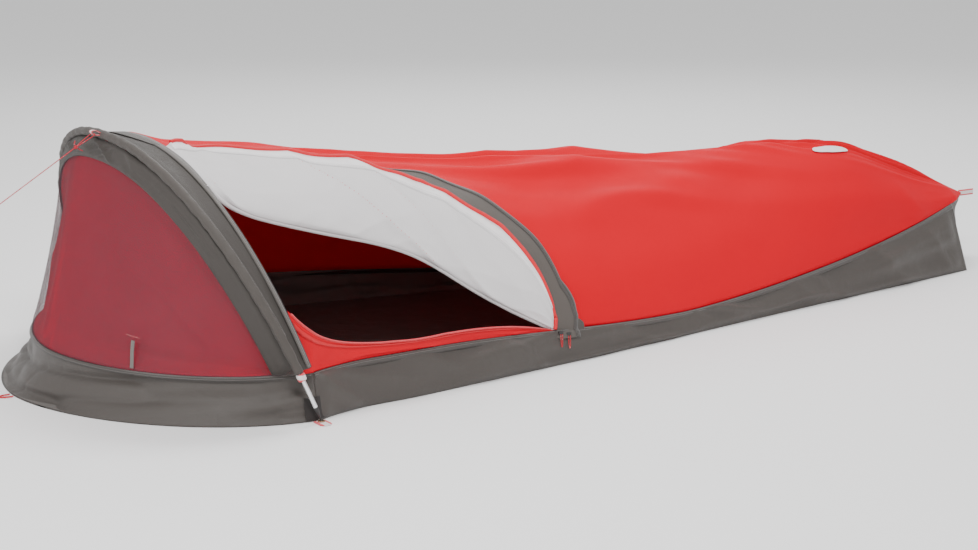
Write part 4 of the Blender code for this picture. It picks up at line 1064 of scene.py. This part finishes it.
xs = XR0 + (FOOT_POINT[0] - 0.004 - XR0) * np.linspace(0, 1, 520)
half = np.sin(np.linspace(0, math.pi / 2, 75)) ** 0.85
ts = np.concatenate([half, 2 - half[::-1][1:]])
P = grid(xs, ts, full_side)
for _ in range(30):
    k = len(half) - 1
    P[:, k - 6:k + 7] = P[:, k - 6:k + 7] * 0.5 + 0.25 * (P[:, k - 7:k + 6] + P[:, k - 5:k + 8])
X, T2 = np.meshgrid(xs, ts, indexing="ij")
side_t = np.minimum(T2, 2 - T2)
arc = side_t
mask = edge_mask(P.shape[:2], 0.010, 0.03)
taper = 1 + 0.9 * fade(X, 0.2, 1.1)
tension = (ridged(X / 0.85 + 0.4 * arc, arc * 7.0 * taper + 0.35 * X, 101, 2.4) - 0.45) * 0.0290 * fade(side_t, 0.30, 0.80) * (1 - 0.6 * fade(side_t, 0.93, 1.0))
tension += (ridged(X / 0.55 - 0.3 * arc, arc * 12.0 * taper - 0.5 * X, 103, 2.0) - 0.45) * 0.0110 * (1 - 0.7 * fade(X, 0.55, 0.95)) * fade(side_t, 0.40, 0.90) * (1 - 0.6 * fade(side_t, 0.93, 1.0))
lumps = (layers(X / 0.28, arc * 2.2, 105) - 0.5) * 0.016 * fade(X, -0.30, 0.05) * fade(side_t, 0.05, 0.35)
low_pull = (ridged(X / 0.16 + 1.1 * arc, arc * 1.8 + 1.2 * X, 107, 2.4) - 0.45) * 0.0130 * fade(X, -0.15, 0.1) * fade(1 - side_t, 0.25, 0.9)
foot_pull = (ridged(X / 0.30, arc * 6.0 + 0.5, 109, 2.0) - 0.45) * 0.0060 * fade(X, 0.70, 1.05) * fade(1 - side_t, 0.03, 0.30)
front_calm = 1 - 0.75 * fade(-X, 0.0, 0.35) * fade(1 - T2, -0.1, 0.2)
patch_x = DOOR_RIDGE_X + (FOOT_POINT[0] - DOOR_RIDGE_X) * 0.605
foot_end = (1 - fade(X, 0.98, 1.185)) * (1 - 0.9 * np.exp(-((X - patch_x) / 0.13) ** 2 - ((T2 - 0.80) / 0.16) ** 2))
P = P + normals(P) * softened((tension + lumps + low_pull + foot_pull) * mask * front_calm * foot_end, 4)[..., None]
canopy = sheet("canopy_shell", P, red, red_inside)
replace_with(canopy, "canopy_near_panel", "canopy_far_panel")
declare(canopy, "stretched", ["tub_side_cloth_near", "tub_side_cloth_far", "hoop_strip_cloth"])
CANOPY_P = P
E["canopy"] = canopy

# ---- folded-back door ----
AXIS_T, E1, E2, E3 = door_axes()


def door_sq(Q):
    D = Q - AXIS_T
    return D @ E1, D @ E2


def reach(us, edge, top=0.985):
    vs = np.linspace(0, 1.0, 401)
    out = []
    for k in us:
        Q = near_roof(np.full_like(vs, k), vs)
        s, q = door_sq(Q)
        hit = q >= edge(s)
        out.append(min(vs[np.argmax(hit)], top) if hit.any() else top)
    return np.array(out)


def roof_over(u, t):
    """Near roof by its own u, carried on over the ridge for t above 1."""
    xr = XR0 + (DOOR_RIDGE_X - XR0) * u
    return full_side(xr, t)


def lifted(U, V, lift):
    d = 2e-3
    n = np.cross(roof_over(U + d, V) - roof_over(np.maximum(U - d, 0), V), roof_over(U, V + d) - roof_over(U, np.maximum(V - d, 0)))
    n /= np.maximum(np.linalg.norm(n, axis=-1, keepdims=True), 1e-9)
    n *= np.sign(n[..., 2:3] + 1e-9)
    return roof_over(U, V) + n * lift, n


du = np.linspace(0.0, 0.992, 194)
free_v = reach(du, free_line, 1.0)
kernel = np.ones(5) / 5
free_v = np.convolve(np.pad(free_v, 2, mode="edge"), kernel, mode="valid")
over = 0.055 * fade(free_v, 0.93, 0.99)
t = np.linspace(0, 1, 44)
V = 0.004 + (np.minimum(free_v, 0.992) + over - 0.004)[:, None] * t
U = np.repeat(du[:, None], 44, 1)
P, n0 = lifted(U, V, DOOR_LIFT)
P = P - n0 * ((DOOR_LIFT - 0.0030) * (1 - fade(U, 0.0, 0.035)))[..., None]
mask = edge_mask(P.shape[:2], 0.02, 0.06, "uUv")
diag = ridged(U * 5.5 + t[None, :] * 2.2, t[None, :] * 0.9 - U * 1.4, 121, 2.6) * 0.0075
diag += ridged(U * 11 - t[None, :] * 2.8, t[None, :] * 1.6, 123, 2.2) * 0.0026
sag = 0.006 * (layers(U * 4, t[None, :] * 1.5, 125) - 0.35)
P = P + n0 * ((diag + sag) * mask)[..., None]
wave_edge = 0.0022 * np.sin(du * 38 + 2.0 * np.sin(du * 11))
P[:, -8:] += (n0[:, -8:] * (wave_edge[:, None] * np.linspace(0, 1, 8)[None, :])[..., None])
flap = sheet("door_flap", P, lining, red)
attach(replace_with(flap, "door_panel"), "door")
FLAP = P
hem_rows = np.stack([P[:, -7] + n0[:, -7] * 0.0011, P[:, -5] + n0[:, -5] * 0.0017, P[:, -3] + n0[:, -3] * 0.0017, P[:, -1] + n0[:, -1] * 0.0011], 1)
flap_hem = sheet("door_flap_hem", hem_rows[3:-3], pale_hem, thick=0.0007)
attach(flap_hem, "door")
keep_from = 70
edge_run = np.concatenate([P[4:, -1] + n0[4:, -1] * 0.0022, (P[-1, 1:-1] + n0[-1, 1:-1] * 0.0022)[::-1][::3]])
keep_pt = np.concatenate([[True], np.linalg.norm(np.diff(edge_run, axis=0), axis=1) > 2e-4])
edge_run = edge_run[keep_pt]
piping = tube("door_zip_coil", edge_run, 0.0042, zip_red, sides=10)
attach(replace_with(piping, "zip_tape_door"), "door")

# the fold itself, a soft roll from the roof's edge up onto the flap
roll_n = n0[:, 0]
low = roof_over(du, np.full_like(du, 0.004))
tang = np.gradient(low, axis=0)
tang /= np.linalg.norm(tang, axis=1, keepdims=True)
outw = np.cross(tang, roll_n)
outw *= np.sign(-outw[:, 2:3])
ang = np.linspace(-math.pi / 2, math.pi / 2, 18)
half_h = DOOR_LIFT / 2
roll_P = np.stack([low + roll_n * (half_h + half_h * math.sin(g)) + outw * (half_h * 1.25 * math.cos(g)) for g in ang], 1)
roll = sheet("door_fold_roll", roll_P, lining, red_inside, thick=0.0009)
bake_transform(roll)

# storm flap along the free edge
su = np.linspace(0.44, 0.992, 400)
sv = np.minimum(reach(su, free_line), 0.985)
sv = np.convolve(np.pad(sv, 10, mode="edge"), np.ones(21) / 21, mode="valid")
su, sv = np.concatenate([su, np.full(40, 0.992)]), np.concatenate([sv, np.linspace(sv[-1], 0.004, 41)[1:]])
along = roof_over(su[:, None], sv[:, None])[:, 0]
run = np.concatenate([[0], np.cumsum(np.linalg.norm(np.diff(along, axis=0), axis=1))])
run /= run[-1]
k_run = np.linspace(0, 1, 132)
cu, cv = np.interp(k_run, run, su), np.interp(k_run, run, sv)
C0, cn = lifted(cu[:, None], cv[:, None], DOOR_LIFT - 0.0020)
C0, cn = C0[:, 0], cn[:, 0]
tng = np.gradient(C0, axis=0)
tng /= np.linalg.norm(tng, axis=1, keepdims=True)
outw2 = np.cross(cn, tng)
step = 3e-3
Pu = (roof_over(cu[:, None], cv[:, None]) - roof_over(cu[:, None] - step, cv[:, None]))[:, 0] / step
Pv = (roof_over(cu[:, None], cv[:, None] + step) - roof_over(cu[:, None], cv[:, None]))[:, 0] / step
aa, bb, cc = (Pu * Pu).sum(1), (Pu * Pv).sum(1), (Pv * Pv).sum(1)
ee, ff = (outw2 * Pu).sum(1), (outw2 * Pv).sum(1)
det = aa * cc - bb * bb
go_u, go_v = (cc * ee - bb * ff) / det, (aa * ff - bb * ee) / det
turn = fade(k_run, 0.50, 0.96)      # toward its foot the band is laid off along the seam, so that it ends square
w_over = 0.058 * (0.20 + 0.80 * fade(k_run, 0.0, 0.30)) * np.sqrt(1 - turn)
w_along = 0.036 * turn
tt = np.linspace(0, 1, 14)
back_in = np.linspace(-0.12, 1.0, 14)
U_s = cu[:, None] + (go_u * w_over + w_along / np.sqrt(aa))[:, None] * back_in
V_s = np.clip(cv[:, None] + (go_v * w_over)[:, None] * back_in, 0.002, 1.2)
Ps, ns = lifted(U_s, V_s, DOOR_LIFT - 0.0020)
su = cu
slack = 0.0020 * np.sin(su * 45)[:, None] * np.linspace(0.2, 1, 14)[None, :] + 0.0025 * (layers(su[:, None] * 9, tt[None, :], 131) - 0.5)
Ps = Ps + ns * slack[..., None]
# it hangs on past the door's foot onto the tub
end = Ps[-1]
tail = np.stack([end + np.array((0.03, -0.36, -0.93)) * d + np.array((0.0, -0.0050, 0.0)) * fade(d, 0.0, 0.006) for d in np.linspace(0.002, 0.016, 8)], 0)
Ps = np.concatenate([Ps, tail], 0)
storm = sheet("storm_flap_cloth", Ps, storm_grey, grey_band)
attach(replace_with(storm, "storm_flap"), "door")
edge_hem = np.stack([Ps[:, -3] + np.array((0, -0.0003, 0.0012)), Ps[:, -2] + np.array((0, -0.0004, 0.0017)), Ps[:, -1] + np.array((0, -0.0003, 0.0012))], 1)
storm_hem = sheet("storm_flap_hem", edge_hem, dark_hem, thick=0.0006)
attach(storm_hem, "door")
declare(storm, "folded", ["canopy_shell"], with_pieces=[storm_hem])
declare(flap, "folded", ["canopy_shell"], with_pieces=[flap_hem, piping])
declare(roll, "folded", ["canopy_shell"])

# grey tab on the tub seam beyond the storm flap
gx = float(Ps[-1, -1, 0]) + np.linspace(-0.006, 0.018, 14)
g_low = tub_top_side(gx)
g_P = np.stack([g_low + np.array((0.0, -0.0035, 0.0)) + np.array((0.0, 0.18, 1.0)) * h for h in np.linspace(-0.004, 0.024, 6)], 1)
g_P[:, 3:, 2] -= 0.012 * (np.linspace(0, 1, 14)[:, None] ** 1.5) * np.linspace(0.3, 1, 3)[None, :]
attach(sheet("seam_tab", g_P, grey, thick=0.0012), "tub")

# ---- zips' sliders, pulls ----
for label in ("lower", "upper"):
    ob = nodes["zip_slider_" + label]
    ob.data.materials.clear()
    ob.data.materials.append(black_plastic)
    bev = ob.modifiers.new("soft_edges", "BEVEL")
    bev.width = 0.0009
    bev.segments = 3
    nodes["zip_pull_" + label].data.materials.clear()
    nodes["zip_pull_" + label].data.materials.append(red_cord)


def carry(name, mat):
    ob = nodes[name]
    ob.data.materials.clear()
    ob.data.materials.append(mat)
    return ob


# ---- webbing ----
TAB_UP = np.array((-0.95, 0.0, 0.31)) / math.hypot(0.95, 0.31)
TAB_ACROSS = np.cross(TAB_UP, np.array((0.0, 1.0, 0.0)))
TAB_BASE = hoop(np.array(math.pi / 2)) + TAB_UP * 0.0080
for label, s in (("near", -1), ("far", 1)):
    carry("grommet_tab_" + label, webbing_material("grommet_tape_" + label, 0, FOOT_X, 0.012))
    carry("grommet_ring_" + label, brass)
    carry("corner_patch_" + label, black_cloth)
    carry("pole_tip_" + label, black_plastic)
    carry("pole_section_" + label, aluminium)
    carry("ferrule_" + label, aluminium)
carry("pole_section_top", aluminium)
carry("shock_cord", elastic)
carry("floor_panel", cloth_material("floor_cloth", scaled(GREY, 1.4), rough=0.6, ripstop=0.006, crumple=0.6))
tab_x = np.linspace(1.203, 1.2505, 16)
tab_z = np.linspace(-0.0072, 0.0072, 5)
tab_P = np.stack([np.stack([tab_x, 0.0003 * np.sin(tab_x * 90), FOOT_POINT[2] + z + 0 * tab_x], 1) for z in tab_z], 1)
foot_tab = sheet("foot_tab_webbing", tab_P, webbing_material("foot_tape", 2, FOOT_POINT[2], 0.007), thick=0.0020)
attach(replace_with(foot_tab, "foot_tab"), "tub")
carry("head_stake_loop", red_cord)
bight = np.linspace(0, 2 * math.pi, 49)
b_up, b_side = TAB_UP, TAB_ACROSS
b_path = np.stack([TAB_BASE + b_up * (0.0090 - 0.0095 * math.cos(k)) + b_side * (0.0040 * math.sin(k)) for k in bight])
b_rows = np.stack([b_path + np.array((0.0, y, 0.0)) for y in np.linspace(-0.0058, 0.0058, 5)], 1)
bight_ob = sheet("hoop_guy_webbing", b_rows, webbing_material("guy_tape", 1, 0.0, 0.006), thick=0.0012)
attach(replace_with(bight_ob, "hoop_guy_tab"), "hoop")
carry("vent_toggle_cord", cord_material("toggle_cord", (0.36, 0.05, 0.06), amount=0.3))
def on_canopy(xr, t):
    """Point on the finished canopy cloth, with its folds."""
    i = np.interp(xr, xs, np.arange(len(xs)))
    j = np.interp(t, ts, np.arange(len(ts)))
    i0, j0 = np.minimum(i.astype(int), len(xs) - 2), np.minimum(j.astype(int), len(ts) - 2)
    a, b = (i - i0)[..., None], (j - j0)[..., None]
    Q = CANOPY_P
    return Q[i0, j0] * (1 - a) * (1 - b) + Q[i0 + 1, j0] * a * (1 - b) + Q[i0, j0 + 1] * (1 - a) * b + Q[i0 + 1, j0 + 1] * a * b


pt = np.linspace(-0.998, 0.998, 90)
pw = 0.048 * np.sqrt(1 - pt ** 2)
px = (DOOR_RIDGE_X + (FOOT_POINT[0] - DOOR_RIDGE_X) * (0.605 + 0.047 * pt))[:, None] + np.zeros((1, 24))
pv = 0.822 + pw[:, None] * np.linspace(-1, 1, 24)[None, :]
patch_P = on_canopy(px, pv)
pn = normals(patch_P)
patch_P = patch_P + pn * np.sign(pn[..., 2:3].mean()) * 0.0034
patch_cloth = sheet("foot_patch_cloth", patch_P, cloth_material("patch_cloth", scaled(PALE, 1.15), rough=0.6, ripstop=0.002, crumple=0.2), thick=0.0010)
attach(replace_with(patch_cloth, "foot_patch"), "tub")
declare(patch_cloth, "stretched", ["canopy_shell"])

for label, s0 in (("near", s_sleeve - 0.017), ("far", HOOP_LENGTH - s_sleeve + 0.003)):
    path = on_hoop(np.linspace(s0, s0 + 0.014, 15))
    z_mid, z_half = float(path[:, 2].mean()), float(np.ptp(path[:, 2]) / 2)
    ring = tube("sleeve_end_webbing_" + label, path, 0.0084 - 0.0010 * np.abs(np.linspace(-1, 1, 15)) ** 3,
                webbing_material("sleeve_end_tape_" + label, 2, z_mid, z_half * 1.25), sides=20)
    attach(replace_with(ring, "sleeve_end_loop_" + label), "hoop")

# ---- guyline ----
TOP = hoop(np.array(math.pi / 2))
TAB_DIR = np.array((-0.95, 0.0, 0.31)) / math.hypot(0.95, 0.31)
TAB = TOP + TAB_DIR * (SLEEVE_R + 0.0086)
GUY_DIR = np.array((-1.0, 0.0, -0.61)) / math.hypot(1, 0.61)
KNOT = TAB + GUY_DIR * 0.045
GUY_END = np.array((-1.290, 0.0, TAB[2] + (TAB[0] + 1.290) * GUY_DIR[2] / -GUY_DIR[0]))
side = np.array((0.0, 1.0, 0.0))
across = np.cross(GUY_DIR, side)
eye = [KNOT + GUY_DIR * 0.001 + side * 0.0010, KNOT - GUY_DIR * 0.008 + side * 0.0035, KNOT - GUY_DIR * 0.022 + side * 0.0068,
       TAB + GUY_DIR * 0.011 + side * 0.0085, TAB + GUY_DIR * 0.0050 + side * 0.0080, TAB + GUY_DIR * 0.0035 + side * 0.0040, TAB + GUY_DIR * 0.0035,
       TAB + GUY_DIR * 0.0035 - side * 0.0040, TAB + GUY_DIR * 0.0050 - side * 0.0080, TAB + GUY_DIR * 0.011 - side * 0.0085,
       KNOT - GUY_DIR * 0.022 - side * 0.0068, KNOT - GUY_DIR * 0.008 - side * 0.0035, KNOT + GUY_DIR * 0.001 - side * 0.0010]


def smooth(xs, ys, x):
    """Monotone cubic curve through a few stations."""
    h, d = np.diff(xs), np.diff(ys) / np.diff(xs)
    m = np.zeros(len(xs))
    m[0], m[-1] = d[0], d[-1]
    for i in range(1, len(xs) - 1):
        if d[i - 1] * d[i] > 0:
            w1, w2 = 2 * h[i] + h[i - 1], h[i] + 2 * h[i - 1]
            m[i] = (w1 + w2) / (w1 / d[i - 1] + w2 / d[i])
    i = np.clip(np.searchsorted(xs, x, side="right") - 1, 0, len(xs) - 2)
    t = (x - xs[i]) / h[i]
    return ((1 + 2 * t) * (1 - t) ** 2 * ys[i] + t * (1 - t) ** 2 * h[i] * m[i]
            + t * t * (3 - 2 * t) * ys[i + 1] + t * t * (t - 1) * h[i] * m[i + 1])


def resample(pts, count):
    pts = np.array(pts)
    s = np.concatenate([[0], np.cumsum(np.linalg.norm(np.diff(pts, axis=0), axis=1))])
    q = np.linspace(0, s[-1], count)
    return np.stack([smooth(s, pts[:, k], q) for k in range(3)], 1)


GUY_R = 0.0009
eye_ob = tube("guyline_eye", resample(eye, 60), GUY_R, guy_cord, sides=8)
attach(eye_ob, "guyline")
line_start = KNOT + GUY_DIR * 0.004
line_end = GUY_END - GUY_DIR * 0.002
line_pts = np.array([line_start + (line_end - line_start) * k for k in np.linspace(0, 1, 24)])
curve = bpy.data.curves.new("guyline_line", "CURVE")
curve.dimensions = "3D"
sp = curve.splines.new("POLY")
sp.points.add(len(line_pts) - 1)
for p, q in zip(sp.points, line_pts):
    p.co = (*map(float, q), 1)
curve.bevel_depth = GUY_R
curve.bevel_resolution = 3
curve.use_fill_caps = True
curve.materials.append(guy_cord)
guy = bpy.data.objects.new("guyline_line", curve)
bpy.context.scene.collection.objects.link(guy)
attach(replace_with(guy, "guyline"), "guyline")
turns = np.linspace(0, 2 * math.pi * 2.6, 60)
knot_pts = np.array([KNOT + GUY_DIR * (0.0005 + 0.0016 * k / (2 * math.pi)) + (side * math.cos(k) + across * math.sin(k)) * 0.0026 for k in turns])
knot_ob = tube("guyline_knot_turns", knot_pts, 0.0010, guy_cord, sides=8)
attach(replace_with(knot_ob, "guyline_knot"), "guyline")
tag1 = resample([KNOT + across * 0.002, KNOT + across * 0.008 + side * 0.002 - GUY_DIR * 0.002, KNOT + across * 0.015 + side * 0.001 - GUY_DIR * 0.006], 14)
tag2 = resample([KNOT - across * 0.002, KNOT - across * 0.007 - side * 0.002 + GUY_DIR * 0.002, KNOT - across * 0.012 - side * 0.003 - GUY_DIR * 0.003], 14)
for k, tag in enumerate((tag1, tag2)):
    attach(tube("guyline_tag_%d" % (k + 1), tag, GUY_R, guy_cord, sides=8), "guyline")
LOOP_C = GUY_END + GUY_DIR * 0.0105
lt = np.linspace(math.pi, 3 * math.pi, 40)
loop_pts = np.array([LOOP_C + (GUY_DIR * math.cos(k) * 0.0100 + side * math.sin(k) * 0.0085) for k in lt])
loop_ob = tube("guyline_loop", loop_pts, GUY_R, guy_cord, sides=8)
attach(replace_with(loop_ob, "guyline_end_loop"), "guyline")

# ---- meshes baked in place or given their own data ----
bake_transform(canopy)
HOOP_FOOT = np.array((HOOP_X, 0.0, 0.0))
up_hoop = hoop(np.array(math.pi / 2)) - HOOP_FOOT
up_hoop /= np.linalg.norm(up_hoop)
off_hoop = np.cross(up_hoop, np.array((0.0, 1.0, 0.0)))
off_hoop *= -np.sign(off_hoop[0])
for ob in (net_cloth, cover):
    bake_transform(ob)
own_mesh(flap)
for ob in (storm, storm_hem, flap_hem, piping):
    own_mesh(ob)

# ---- floor and light ----
bpy.ops.mesh.primitive_plane_add(size=16, location=(0, 0, -0.0004))
ground = bpy.context.object
ground.name = "studio_floor"
gm = Nodes("studio_floor_paint")
gn = gm.add("ShaderNodeTexNoise", Scale=1.2, Detail=2.0)
gm.link(gm.mix(gn.outputs[0], (0.93, 0.93, 0.93), (0.95, 0.95, 0.95)), gm.bsdf.inputs["Base Color"])
gm.bsdf.inputs["Roughness"].default_value = 0.9
ground.data.materials.append(gm.m)
world = bpy.data.worlds.new("studio")
bpy.context.scene.world = world
world.use_nodes = True
world.node_tree.nodes["Background"].inputs[0].default_value = (1.0, 1.0, 1.0, 1)
world.node_tree.nodes["Background"].inputs[1].default_value = 0.80


def area_light(name, loc, target, size, power):
    d = bpy.data.lights.new(name, "AREA")
    d.shape = "RECTANGLE"
    d.size, d.size_y = size
    d.energy = power
    o = bpy.data.objects.new(name, d)
    o.location = loc
    o.rotation_euler = (Vector(target) - Vector(loc)).to_track_quat("-Z", "Y").to_euler()
    bpy.context.scene.collection.objects.link(o)
    return o


area_light("key", (-1.6, -2.6, 3.0), (0.0, 0.0, 0.1), (1.2, 0.9), 92)
area_light("top", (0.6, 0.5, 3.2), (0.1, 0.0, 0.2), (2.0, 0.9), 66)
area_light("side", (-3.4, -0.4, 1.5), (-0.8, 0.0, 0.2), (1.6, 1.4), 26)
area_light("back", (1.8, 2.8, 2.2), (0.0, 0.0, 0.2), (2.4, 1.4), 30)
